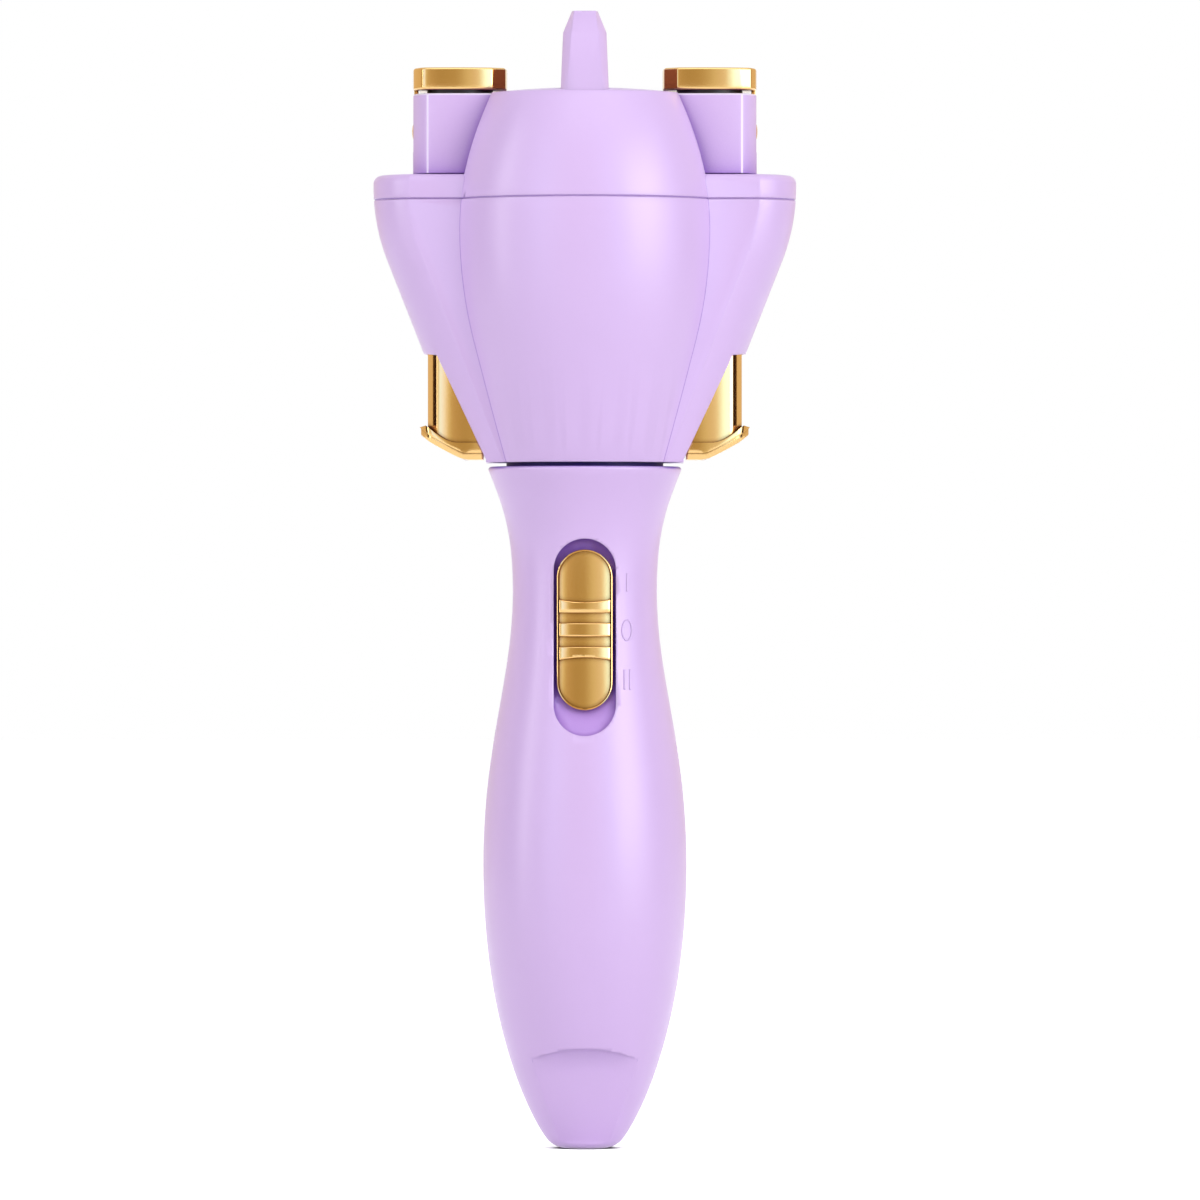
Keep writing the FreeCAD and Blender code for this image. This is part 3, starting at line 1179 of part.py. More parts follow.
def turret_bush(sign):
    """Bush of one turret in the gear plate."""
    return tube(TURRET_BUSH_R, JOURNAL_R + RUN_FIT, PLATE_LOW - TURRET_BUSH_PROUD,
                PLATE_HIGH + TURRET_BUSH_PROUD, sign * TURRET_X)


# ---------------------------------------------------------------- drive pieces
def drive_shaft():
    """Steel shaft from the planet carrier up to the sun gear."""
    return rod(SHAFT_R, CARRIER_LOW, HEAD_GEAR_HIGH + SHAFT_END)


def sun_gear():
    """Large gear between the turrets, with the hub that keeps it above the plate."""
    teeth = gear(SUN_TEETH, HEAD_MODULE, 0.95 * HEAD_MODULE, 1.2 * HEAD_MODULE, HEAD_BACKLASH,
                 0, HEAD_GEAR_LOW, HEAD_GEAR_HIGH)
    hub = rod(SHAFT_R + SUN_HUB_WALL, PLATE_HIGH + SKIN_GAP, HEAD_GEAR_LOW)
    return fuse(teeth, hub).cut(rod(SHAFT_R, PLATE_LOW, LID_TOP))


def shaft_ring():
    """Retaining ring above the sun gear."""
    return tube(SHAFT_R + SHAFT_RING_WALL, SHAFT_R, HEAD_GEAR_HIGH, HEAD_GEAR_HIGH + SHAFT_RING)


# ---------------------------------------------------------------- turret pieces
def tower_section(shrink=0.0):
    """Level section of a tower: bowed faces with slanted corners, centred on its axis."""
    half_x = TOWER_HALF_X - shrink
    half_y = TOWER_HALF_Y - shrink
    reach = TOWER_R - shrink
    corner_y = math.sqrt(reach ** 2 - half_x ** 2)
    corner_x = math.sqrt(reach ** 2 - half_y ** 2)
    bow_x = half_x + TOWER_BOW_X
    bow_y = half_y + TOWER_BOW_Y
    return face([
        arc(V(half_x, -corner_y, 0), V(bow_x, 0, 0), V(half_x, corner_y, 0)),
        line(V(half_x, corner_y, 0), V(corner_x, half_y, 0)),
        arc(V(corner_x, half_y, 0), V(0, bow_y, 0), V(-corner_x, half_y, 0)),
        line(V(-corner_x, half_y, 0), V(-half_x, corner_y, 0)),
        arc(V(-half_x, corner_y, 0), V(-bow_x, 0, 0), V(-half_x, -corner_y, 0)),
        line(V(-half_x, -corner_y, 0), V(-corner_x, -half_y, 0)),
        arc(V(-corner_x, -half_y, 0), V(0, -bow_y, 0), V(corner_x, -half_y, 0)),
        line(V(corner_x, -half_y, 0), V(half_x, -corner_y, 0)),
    ])


def tower_block(z0, z1, shrink=0.0):
    """Right tower's section between two heights."""
    block = tower_section(shrink).extrude(V(0, 0, z1 - z0))
    block.translate(V(TURRET_X, 0, z0))
    return block


def tower():
    """Right tower with its stepped hub, spring bore and the groove for the cap's leg."""
    block = tower_block(TOWER_LOW, TOWER_TOP)
    hub = rod(HUB_R, HEAD_GEAR_HIGH, TOWER_LOW, TURRET_X)
    seat = rod(GEAR_SEAT_R, PLATE_HIGH + SEAT_RISE, HEAD_GEAR_HIGH, TURRET_X)
    journal = rod(JOURNAL_R, JOURNAL_LOW, PLATE_HIGH + SEAT_RISE, TURRET_X)
    body = fuse(block, hub, seat, journal)
    groove_half = LEG_HALF + SKIN_GAP
    groove = box(LEG_OUTER - LEG_THICK - SKIN_GAP / 2, TURRET_X + TOWER_R + 1, -groove_half, groove_half,
                 GROOVE_LOW, TOWER_TOP + 1)
    bore = rod(ROD_R + RUN_FIT, JOURNAL_LOW - 1, TOWER_TOP + 1, TURRET_X)
    spring_bore = rod(SPRING_BORE_R, JOURNAL_LOW - 1, SPRING_LEDGE, TURRET_X)
    return cut(body, groove, bore, spring_bore)


def turret_gear():
    """Right turret's gear with its hub."""
    teeth = gear(TURRET_TEETH, HEAD_MODULE, 0.95 * HEAD_MODULE, 1.2 * HEAD_MODULE, HEAD_BACKLASH,
                 180 / TURRET_TEETH, HEAD_GEAR_LOW, HEAD_GEAR_HIGH, TURRET_X)
    hub = rod(GEAR_SEAT_R + GEAR_HUB_WALL, PLATE_HIGH + SEAT_RISE, HEAD_GEAR_LOW, TURRET_X)
    return fuse(teeth, hub).cut(rod(GEAR_SEAT_R, PLATE_LOW, LID_TOP, TURRET_X))


def turret_ring():
    """Retaining ring under the right turret's bush."""
    high = PLATE_LOW - TURRET_BUSH_PROUD - JOINT_GAP
    return tube(JOURNAL_R + TURRET_RING_RIM, JOURNAL_R, high - TURRET_RING, high, TURRET_X)


def clip_cap():
    """Right clamp cap: plate over the tower, round boss below it, leg down the groove."""
    plate = tower_block(CAP_LOW, CAP_LOW + CAP_THICK)
    level = [e for e in plate.Edges if e.BoundBox.ZLength < 0.01]
    plate = plate.makeFillet(CAP_ROUND, level)
    boss = rod(TOWER_HALF_Y - CAP_BOSS_INSET, TOWER_TOP + RUN_FIT, CAP_LOW + CAP_ROUND, TURRET_X)
    leg = box(LEG_OUTER - LEG_THICK, LEG_OUTER, -LEG_HALF, LEG_HALF,
              GROOVE_LOW + LEG_RISE, CAP_LOW + CAP_THICK / 2)
    socket = rod(ROD_R, TOWER_TOP, CAP_LOW + ROD_SOCKET, TURRET_X)
    return fuse(plate, boss, leg).cut(socket)


def clip_rod():
    """Steel rod from the cap down to the lever, with the spring's collar."""
    stem = rod(ROD_R, ROD_LOW, CAP_LOW + ROD_SOCKET, TURRET_X)
    return fuse(stem, rod(ROD_COLLAR_R, ROD_COLLAR_LOW, ROD_COLLAR_LOW + ROD_COLLAR, TURRET_X))


def clip_spring():
    """Spring that pulls the right cap down onto its tower."""
    return coil_spring(CLAMP_SPRING_R, CLAMP_WIRE, ROD_COLLAR_LOW + ROD_COLLAR, SPRING_LEDGE, 6, TURRET_X)


# ---------------------------------------------------------------- lever pieces
def lever_plan(grow=0.0):
    """Level section of the right lever: bowed front and rear, two facets at each outer corner."""
    inner = LEVER_INNER - grow
    half = LEVER_HALF + grow
    outer = LEVER_OUTER + grow
    front = [(inner, half), (inner + LEVER_BOW_PLACE, half - LEVER_BOW),
             (outer - LEVER_BEVEL_1[0], half - LEVER_BEVEL_1[1])]
    bevel = (outer - LEVER_BEVEL_2[0], half - LEVER_BEVEL_2[1])
    face_half = LEVER_FACE + grow / 2
    right = [V(x, y, 0) for x, y in front]
    left = [V(x, -y, 0) for x, y in front]
    return face([
        arc(*right),
        line(right[2], V(*bevel, 0)),
        line(V(*bevel, 0), V(outer, face_half, 0)),
        line(V(outer, face_half, 0), V(outer, -face_half, 0)),
        line(V(outer, -face_half, 0), V(bevel[0], -bevel[1], 0)),
        line(V(bevel[0], -bevel[1], 0), left[2]),
        arc(left[2], left[1], left[0]),
        line(left[0], right[0]),
    ])


def foot_plan(shrink=0.0):
    """Level section of the lever's foot: round its front, shoulders and nose."""
    tip_x = LEVER_OUTER + FOOT_TIP_OUT
    half = FOOT_HALF - shrink
    shoulder = V(tip_x - FOOT_BEVEL_1[0], half - FOOT_BEVEL_1[1], 0)
    corner = V(tip_x - FOOT_BEVEL_2[0], half - FOOT_BEVEL_2[1], 0)
    nose = V(tip_x, FOOT_NOSE_HALF - shrink / 2, 0)
    root = V(LEVER_INNER, half, 0)
    bow = V(LEVER_INNER + LEVER_BOW_PLACE, half - FOOT_BOW, 0)
    near = [V(p.x, -p.y, 0) for p in (root, bow, shoulder, corner, nose)]
    plan = face([
        arc(root, bow, shoulder),
        line(shoulder, corner),
        line(corner, nose),
        line(nose, near[4]),
        line(near[4], near[3]),
        line(near[3], near[2]),
        arc(near[2], near[1], near[0]),
        line(near[0], root),
    ])
    prism = plan.extrude(V(0, 0, 2 * FOOT_TIP_RISE))
    prism.translate(V(0, 0, LEVER_LOW - FOOT_THICK))
    return prism


def lever_foot():
    """Flange that sweeps up to the finger tip like a sled, with its bevelled underside."""
    tip_x = LEVER_OUTER + FOOT_TIP_OUT
    tip_high = LEVER_LOW + FOOT_TIP_RISE
    flat_x = LEVER_INNER + FOOT_FLAT_LENGTH
    top_end = V(tip_x - FOOT_TIP_LIP, 0, tip_high)
    tip = V(tip_x, 0, tip_high - FOOT_TIP_THICK)
    foot = face([
        line(V(LEVER_INNER, 0, LEVER_LOW), V(LEVER_INNER, 0, FOOT_TOP)),
        line(V(LEVER_INNER, 0, FOOT_TOP), V(FOOT_TOP_X, 0, FOOT_TOP)),
        bezier(V(FOOT_TOP_X, 0, FOOT_TOP), V(FOOT_TOP_X + FOOT_TOP_PULL[0], 0, FOOT_TOP + FOOT_TOP_PULL[1]),
               V(top_end.x - FOOT_TIP_PULL[0], 0, tip_high - FOOT_TIP_PULL[1]), top_end),
        arc(top_end, V(tip_x - 0.27 * FOOT_TIP_LIP, 0, tip_high - 0.22 * FOOT_TIP_THICK), tip),
        bezier(tip, V(tip_x, 0, tip.z - FOOT_NOSE_PULL),
               V(flat_x + FOOT_FLAT_PULL[0], 0, LEVER_LOW + FOOT_FLAT_PULL[1]), V(flat_x, 0, LEVER_LOW)),
        line(V(flat_x, 0, LEVER_LOW), V(LEVER_INNER, 0, LEVER_LOW)),
    ])
    sled = foot.extrude(V(0, 2 * FOOT_HALF, 0))
    sled.translate(V(0, -FOOT_HALF, 0))
    raised = sled.copy()
    raised.translate(V(0, 0, FOOT_TIER))
    return fuse(sled.common(raised).common(foot_plan()), sled.common(foot_plan(FOOT_STEP)))


def lever():
    """Right lever: block, sled-shaped foot, guide ribs and the pin for its spring."""
    block = lever_plan().extrude(V(0, 0, LEVER_TOP - FOOT_TOP))
    block.translate(V(0, 0, FOOT_TOP))
    half = WING_HALF_DEPTH - WALL - GUIDE_RIB_GAP
    ribs = box(LEVER_INNER, LEVER_INNER + GUIDE_RIB, -half, half, GUIDE_RIB_LOW, LEVER_TOP)
    pin = rod(LEVER_SPRING_R - LEVER_WIRE - SKIN_GAP, LEVER_TOP - 1, LEVER_TOP + LEVER_PIN,
              LEVER_SPRING_X, LEVER_SPRING_Y)
    return fuse(block, lever_foot(), ribs, pin)


def lever_spring():
    """Spring between the right lever and the gear plate."""
    return coil_spring(LEVER_SPRING_R, LEVER_WIRE, LEVER_TOP, PLATE_LOW, 9, LEVER_SPRING_X, LEVER_SPRING_Y)


# ---------------------------------------------------------------- all pieces
def build_parts():
    """Every sub-part by name."""
    front, rear, door = handle_shells()
    parts = {
        "handle_front_shell": front,
        "handle_rear_shell": rear,
        "battery_door": door,
        "battery_tray": battery_tray(),
        "battery_left": battery(-1),
        "battery_right": battery(1),
        "contact_plates": contact_plates(),
        "contact_springs": contact_springs(),
        "circuit_board": circuit_board(),
        "switch_body": switch_body(),
        "switch_knob": switch_knob(),
        "drive_motor": drive_motor(),
        "motor_pinion": motor_pinion(),
        "ring_gear_housing": ring_gear_housing(),
        "planet_carrier": planet_carrier(),
        "neck_bearing": neck_bearing(),
        "neck_clutch": neck_clutch(),
        "neck_washer": neck_washer(),
        "handle_screws": group([screw_along_y(*place) for place in handle_screw_places()]),
        "neck_sleeve": neck_sleeve(),
        "sleeve_snap_ring": snap_ring(),
        "sleeve_screws": group([screw_down(x, y, FLANGE_HIGH, HEAD_BOTTOM + SCREW_FLOOR)
                                for x, y in sleeve_screw_places()]),
        "shaft_clutch": shaft_clutch(),
        "head_lower_shell": head_lower_shell(),
        "head_top_cover": head_top_cover(),
        "gear_plate": gear_plate(),
        "plate_screws": group([screw_down(x, y, PLATE_HIGH, PLATE_LOW - SCREW_BITE)
                               for x, y in plate_boss_places()]),
        "shaft_bush": tube(SHAFT_CLUTCH_R, SHAFT_R + RUN_FIT, PLATE_LOW, PLATE_HIGH),
        "drive_shaft": drive_shaft(),
        "sun_gear": sun_gear(),
        "shaft_ring": shaft_ring(),
    }
    for index in range(PLANETS):
        parts[f"planet_gear_{index + 1}"] = planet_gear(index)
    sided_parts = {
        "tower": tower(),
        "turret_gear": turret_gear(),
        "turret_ring": turret_ring(),
        "clip_cap": clip_cap(),
        "clip_rod": clip_rod(),
        "clip_spring": clip_spring(),
        "lever": lever(),
        "lever_spring": lever_spring(),
    }
    for side, sign in SIDES:
        parts[f"turret_bush_{side}"] = turret_bush(sign)
        for name, shape in sided_parts.items():
            parts[f"{name}_{side}"] = sided(shape, sign)
    return parts


os.makedirs("parts", exist_ok=True)
for node, solid in build_parts().items():
    solid.exportStep(f"parts/{node}.step")
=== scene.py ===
import bmesh
import bpy
import math
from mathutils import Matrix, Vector
from mathutils.bvhtree import BVHTree


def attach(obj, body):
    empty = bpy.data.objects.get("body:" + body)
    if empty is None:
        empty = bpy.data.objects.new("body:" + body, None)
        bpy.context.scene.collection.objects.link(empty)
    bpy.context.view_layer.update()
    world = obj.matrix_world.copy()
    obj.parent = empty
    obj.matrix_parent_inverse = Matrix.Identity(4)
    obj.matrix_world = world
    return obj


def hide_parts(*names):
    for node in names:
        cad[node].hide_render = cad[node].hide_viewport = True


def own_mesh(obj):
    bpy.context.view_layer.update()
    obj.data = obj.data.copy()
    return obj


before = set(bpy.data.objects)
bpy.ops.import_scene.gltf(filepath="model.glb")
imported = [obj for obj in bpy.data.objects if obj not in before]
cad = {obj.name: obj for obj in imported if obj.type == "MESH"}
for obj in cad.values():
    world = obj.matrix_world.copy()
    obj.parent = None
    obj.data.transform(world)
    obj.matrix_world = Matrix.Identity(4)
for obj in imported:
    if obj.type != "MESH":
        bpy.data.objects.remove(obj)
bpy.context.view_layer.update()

# ------------------------------------------------------------------ studio
# A matt white table in a white room, lit by four soft boxes. Upright paper
# cards and brown cloths stand round it where only reflections see them: they
# give the plated parts their bright and dark bands.
SIDES = (("left", -1), ("right", 1))
CAMERA_PLACE, CAMERA_LENS = (0.0034, -2.4, 0.1230), 320.7
ROOM_LIGHT = 0.46           # of white, where the room lights a surface; seen or mirrored, the room is white
BOX_AIM = (0, 0, 0.12)
CARD_FOOT, CARD_TOP = -0.6, 1.4
CARD_PEAK = 5.0             # a ramp holds no more than 1, so it holds each brightness as a share of this
TABLE_RADIUS = 7.0
TABLE_GLOW = 0.63           # added to the table's own white where it is seen or mirrored
PAINTED_SHADOW_REACH = 0.005       # how near the object the painted contact shadow reaches, in metres


def linear(code):
    """An sRGB colour written as six hex digits, as Blender's linear colour."""
    parts = [int(code[i:i + 2], 16) / 255 for i in (0, 2, 4)]
    return [p / 12.92 if p <= 0.04045 else ((p + 0.055) / 1.055) ** 2.4 for p in parts] + [1.0]


def add(tree, kind, settings=None, **links):
    """Adds a node. Settings are its own options; links are its sockets, by name or by number (i0, i1),
    each a value or another node's output."""
    new = tree.nodes.new("ShaderNode" + kind)
    for key, value in (settings or {}).items():
        setattr(new, key, value)
    for key, value in links.items():
        numbered = key[0] == "i" and key[1:].isdigit()
        socket = new.inputs[int(key[1:]) if numbered else key.replace("_", " ")]
        if isinstance(value, bpy.types.NodeSocket):
            tree.links.new(value, socket)
        else:
            socket.default_value = value
    return new


def bare(name):
    """A new material with an empty node tree but for its output."""
    made = bpy.data.materials.new(name)
    made.use_nodes = True
    made.node_tree.nodes.clear()
    return made, made.node_tree, made.node_tree.nodes.new("ShaderNodeOutputMaterial")


def link(name, data):
    """A new object in the scene."""
    made = bpy.data.objects.new(name, data)
    bpy.context.scene.collection.objects.link(made)
    return made


def piece(name, shape):
    """A shape as a new object in the scene."""
    mesh = bpy.data.meshes.new(name)
    shape.to_mesh(mesh)
    shape.free()
    return link(name, mesh)


camera = link("camera", bpy.data.cameras.new("camera"))
camera.data.lens = CAMERA_LENS
camera.data.sensor_width = 36
camera.data.clip_start = 0.05
camera.location = CAMERA_PLACE
camera.rotation_euler = (math.radians(90), 0, 0)
bpy.context.scene.camera = camera
bpy.context.scene.view_settings.view_transform = "Standard"

world = bpy.data.worlds.new("white_studio")
bpy.context.scene.world = world
world.use_nodes = True
sky = world.node_tree
sky.nodes.clear()
rays = add(sky, "LightPath")
seen = add(sky, "Math", {"operation": "MAXIMUM"}, i0=rays.outputs["Is Camera Ray"],
           i1=rays.outputs["Is Glossy Ray"])
seen = add(sky, "Math", {"operation": "MAXIMUM"}, i0=seen.outputs[0],
           i1=rays.outputs["Is Transmission Ray"])
level = add(sky, "MapRange", {}, Value=seen.outputs[0], To_Min=ROOM_LIGHT, To_Max=1.0)
glow = add(sky, "Background", {}, Color=(1, 1, 1, 1), Strength=level.outputs[0])
add(sky, "OutputWorld", {}, Surface=glow.outputs[0])


def soft_box(name, place, size, watts):
    """A rectangular soft box aimed at the middle of the object."""
    lamp = link(name, bpy.data.lights.new(name, "AREA"))
    lamp.data.shape = "RECTANGLE"
    lamp.data.size, lamp.data.size_y = size
    lamp.data.energy = watts
    lamp.location = place
    lamp.rotation_euler = (Vector(BOX_AIM) - Vector(place)).to_track_quat("-Z", "Y").to_euler()
    return lamp


soft_box("key_box", (1.35, -1.05, 0.55), (0.9, 1.1), 15.0)
fill = soft_box("fill_box", (-0.90, -1.30, 0.55), (0.6, 1.1), 5.2)
fill.visible_glossy = False     # it would hide the front card's left end from the plated parts
soft_box("side_strip", (-1.45, -0.42, 0.55), (0.25, 1.1), 4.2)
soft_box("top_box", (0.15, -0.60, 1.25), (1.2, 0.7), 3.0)


def card(name, start, end, far, stops):
    """An upright card, far metres out, between two bearings in degrees (0 is in front), that only
    reflections see. Each stop is how far along the card it lies, a colour, and its brightness."""
    corners = [(far * math.sin(math.radians(b)), -far * math.cos(math.radians(b))) for b in (start, end)]
    shape = bmesh.new()
    base = [shape.verts.new((x, y, CARD_FOOT)) for x, y in corners]
    shape.faces.new(base + [shape.verts.new((x, y, CARD_TOP)) for x, y in reversed(corners)])
    hung = piece(name, shape)
    paper, tree, out = bare(name + "_paper")
    place = add(tree, "TexCoord")
    across = add(tree, "SeparateXYZ", {}, i0=place.outputs["Object"])
    along = add(tree, "MapRange", {}, Value=across.outputs[0], From_Min=corners[0][0],
                From_Max=corners[1][0])
    ramp = add(tree, "ValToRGB", {}, Fac=along.outputs[0])
    for where, shade, bright in stops[2:]:
        ramp.color_ramp.elements.new(where)
    for stop, (where, shade, bright) in zip(ramp.color_ramp.elements, stops):
        stop.position = where
        stop.color = [c * bright / CARD_PEAK for c in linear(shade)[:3]] + [1]
    lit = add(tree, "Emission", {}, Color=ramp.outputs[0], Strength=CARD_PEAK)
    tree.links.new(lit.outputs[0], out.inputs["Surface"])
    hung.data.materials.append(paper)
    hung.visible_camera = False
    hung.visible_diffuse = False
    hung.visible_shadow = False
    hung.visible_transmission = False


card("front_card", -40, 40, 2.0,
     [(0.0, "C6DCFF", 2.20), (0.060, "A9C8FF", 2.95), (0.117, "BED1FF", 2.40), (0.158, "EBEFFF", 1.45),
      (0.188, "FFF8E6", 1.04), (0.221, "FFF3C1", 0.81), (0.264, "FFE3B2", 0.67), (0.392, "FFE2A7", 0.56),
      (0.500, "FFE4AB", 0.60), (0.608, "FFF5D4", 0.86), (0.697, "FFF4E6", 0.95), (0.736, "FFFDEF", 1.04),
      (0.779, "DEEFFF", 1.65), (0.820, "BCDEFF", 2.61), (0.889, "AAD2FF", 3.45), (0.935, "B8DCFF", 2.98),
      (0.979, "FAFFF6", 1.12), (1.0, "FFFAE5", 0.92)])
card("right_card", 66, 81, 2.0, [(0.0, "E6E4FF", 3.2), (1.0, "E6E4FF", 2.2)])
for name, side in SIDES:
    card("brown_cloth_" + name, side * 82, side * 104, 1.4,
         [(0.0, "3A1C0A", 1.0), (0.4, "2A1206", 1.0), (0.8, "3A1C0A", 1.0), (1.0, "6A4426", 1.0)])
    card("warm_card_" + name, side * 104, side * 160, 1.6,
         [(0.0, "FFE6BC", 0.85), (1.0, "FFE6BC", 0.95)])

# The table is matt white card: the object's shadow stays on it, and the rest is burnt to white. Where the
# camera sees it, a painted contact shadow, deep violet from ambient occlusion, darkens it near the object.
shape = bmesh.new()
bmesh.ops.create_circle(shape, cap_ends=True, segments=64, radius=TABLE_RADIUS)
table = piece("table", shape)
paper, tree, out = bare("matt_white_card_painted_shadow")
rays = add(tree, "LightPath")
near = add(tree, "AmbientOcclusion", {"samples": 12}, Distance=PAINTED_SHADOW_REACH)
clear = add(tree, "MapRange", {}, Value=near.outputs["AO"], From_Min=0.1, From_Max=0.55)
unseen = add(tree, "Math", {"operation": "SUBTRACT"}, i0=1.0, i1=rays.outputs["Is Camera Ray"])
clear = add(tree, "Math", {"operation": "MAXIMUM"}, i0=clear.outputs[0], i1=unseen.outputs[0])
# painted contact shadow: the table's colour goes to deep violet where ambient occlusion finds the object
# close
painted_shadow_tint = add(tree, "Mix", {"data_type": "RGBA"}, Factor=clear.outputs[0], i6=linear("2A1434"),
            i7=linear("F2F1F3"))
matt = add(tree, "BsdfDiffuse", {}, Color=painted_shadow_tint.outputs[2], Roughness=1.0)
seen = add(tree, "Math", {"operation": "MAXIMUM"}, i0=rays.outputs["Is Camera Ray"],
           i1=rays.outputs["Is Glossy Ray"])
seen = add(tree, "Math", {"operation": "MAXIMUM"}, i0=seen.outputs[0],
           i1=rays.outputs["Is Transmission Ray"])
white = add(tree, "Math", {"operation": "MULTIPLY"}, i0=seen.outputs[0], i1=TABLE_GLOW)
white = add(tree, "Math", {"operation": "MULTIPLY"}, i0=white.outputs[0], i1=clear.outputs[0])
burnt = add(tree, "Emission", {}, Color=(1, 1, 1, 1), Strength=white.outputs[0])
both = add(tree, "AddShader", {}, i0=matt.outputs[0], i1=burnt.outputs[0])
tree.links.new(both.outputs[0], out.inputs["Surface"])
table.data.materials.append(paper)

# ------------------------------------------------------------------ head casing
# The barrel and its two wings, and the lid over the gears with its fin, are
# injection moulded in lavender ABS from a polished tool. The lid clips over a
# lip. Where each wing meets the barrel the crease is chamfered and painted
# darker as painted shade; rounded outer edges get a lighter painted highlight.
SEAM_GAP, SEAM_LEFT, SEAM_DEEP = 0.35, 0.04, 0.25   # mm: under the lid, what stays open, groove's depth
WING_TIP = 0.044                    # metres from the middle: out here the lid's lowest points are its rim
EDGE_ROUND, VALLEY_ROUND = 0.00028, 0.00016
EDGE_ANGLE, EDGE_OFF = 26, 0.0004   # degrees; how far off an edge its view to the outside starts
ABS_ROUGH, ABS_IOR = 0.32, 1.52


def moulded_plastic(name, deep, reach, shut, clear, tone="D6B9EB"):
    """ABS from a polished tool: an even tone with painted shade in its corners, mixed towards a deeper
    colour by ambient occlusion (within a reach in metres, between two shares of open air), a soft sheen that
    drifts over
    26 mm, and a 0.4 mm ripple, drawn coarser than the real one so that it shows, which breaks the edges of
    reflections."""
    made, tree, out = bare(name)
    place = add(tree, "TexCoord")
    fine = add(tree, "TexNoise", {}, Vector=place.outputs["Object"], Scale=2600.0, Detail=3.0)
    wide = add(tree, "TexNoise", {}, Vector=place.outputs["Object"], Scale=38.0, Detail=1.0)
    # painted shade: the colour deepens where ambient occlusion finds nearby faces
    corner = add(tree, "AmbientOcclusion", {"samples": 6, "only_local": reach < 0.005}, Distance=reach)
    painted_shade_mix = add(tree, "MapRange", {}, Value=corner.outputs["AO"], From_Min=shut, From_Max=clear)
    colour = add(tree, "Mix", {"data_type": "RGBA"}, Factor=painted_shade_mix.outputs[0], i6=linear(deep),
                 i7=linear(tone))
    sheen = add(tree, "MapRange", {}, Value=wide.outputs[0], To_Min=ABS_ROUGH - 0.02,
                To_Max=ABS_ROUGH + 0.02)
    ripple = add(tree, "Bump", {}, Strength=0.06, Distance=0.0001, Height=fine.outputs[0])
    rounded = add(tree, "Bevel", {"samples": 6}, Radius=0.00045, Normal=ripple.outputs[0])
    skin = add(tree, "BsdfPrincipled", {}, Base_Color=colour.outputs[2], Roughness=sheen.outputs[0],
               Normal=rounded.outputs[0], IOR=ABS_IOR)
    tree.links.new(skin.outputs[0], out.inputs["Surface"])
    return made


# The deep colours are shade painted into corners; the valley tone is shade painted into creases, the ridge
# tone a highlight painted on rounded edges.
lavender = moulded_plastic("moulded_lavender_abs", "7E4EC0", 0.0010, 0.45, 0.85)
valley_painted_shade = moulded_plastic("moulded_lavender_abs_valley_painted_shade", "7A48BE", 0.0010, 0.45, 0.85, tone="AE88D4")
ridge_painted_highlight = moulded_plastic("moulded_lavender_abs_ridge_painted_highlight", "7E4EC0", 0.0010, 0.45, 0.85, tone="E8DAF6")


def from_node(node):
    """A CAD node's mesh as a shape in metres, with its loose triangles joined."""
    shape = bmesh.new()
    shape.from_mesh(cad[node].data)
    bmesh.ops.remove_doubles(shape, verts=shape.verts, dist=1e-7)
    return shape


def smooth(made, angle):
    """Smooth shading up to an angle in degrees between faces."""
    made.data.shade_smooth()
    made.data.set_sharp_from_angle(angle=math.radians(angle))


def settle(made, body, nodes, finish):
    """Gives a piece its finish, parents it to its CAD body, and hides the nodes that it stands for."""
    for one in finish:
        made.data.materials.append(one)
    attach(made, body)
    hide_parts(*nodes)


def draw_out(shape, faces):
    """Extrudes faces of a shape where they are, and gives the new ones' vertices."""
    raised = bmesh.ops.extrude_face_region(shape, geom=faces)["geom"]
    return [g for g in raised if isinstance(g, bmesh.types.BMVert)]


def close_seam(shape):
    """Brings the lid's rim down into the seam, a little inside its outer face: a shallow groove stays."""
    shape.normal_update()
    level = min(v.co.z for v in shape.verts if abs(v.co.x) > WING_TIP)
    rim = [f for f in shape.faces if f.normal.z < -0.99 and abs(f.calc_center_median().z - level) < 3e-5]
    bmesh.ops.inset_region(shape, faces=rim, thickness=SEAM_DEEP / 1000, depth=0.0, use_even_offset=True)
    bmesh.ops.translate(shape, vec=(0, 0, (SEAM_LEFT - SEAM_GAP) / 1000), verts=draw_out(shape, rim))
    bmesh.ops.delete(shape, geom=rim, context="FACES_ONLY")


def crisp(shape):
    """Rounds the edges that show on the outside of a moulding and paints them lighter as a painted
    highlight, and chamfers the valleys between its forms and paints them darker as painted shade.
    """
    bmesh.ops.dissolve_limit(shape, angle_limit=math.radians(0.6), verts=shape.verts, edges=shape.edges)
    shape.normal_update()
    around = BVHTree.FromBMesh(shape)

    def open_air(e):
        out = (e.link_faces[0].normal + e.link_faces[1].normal).normalized()
        mid = (e.verts[0].co + e.verts[1].co) / 2
        return around.ray_cast(mid + out * EDGE_OFF, out)[0] is None

    found = [e for e in shape.edges if len(e.link_faces) == 2
             and e.calc_face_angle(0) > math.radians(EDGE_ANGLE) and open_air(e)]
    valleys = [e for e in found if not e.is_convex]
    ridges = [e for e in found if e.is_convex]
    bmesh.ops.bevel(shape, geom=valleys, offset=VALLEY_ROUND, offset_type="OFFSET", affect="EDGES",
                    segments=1, profile=0.5, material=1, clamp_overlap=True)
    ridges = [e for e in ridges if e.is_valid]
    bmesh.ops.bevel(shape, geom=ridges, offset=EDGE_ROUND, offset_type="OFFSET", affect="EDGES",
                    segments=2, profile=0.5, material=2, clamp_overlap=True)


for name in ("head_lower_shell", "head_top_cover"):
    shape = from_node(name)
    if name == "head_top_cover":
        close_seam(shape)
    crisp(shape)
    shell = piece(name + "_moulding", shape)
    smooth(shell, 28)
    settle(shell, "head", [name], [lavender, valley_painted_shade, ridge_painted_highlight])

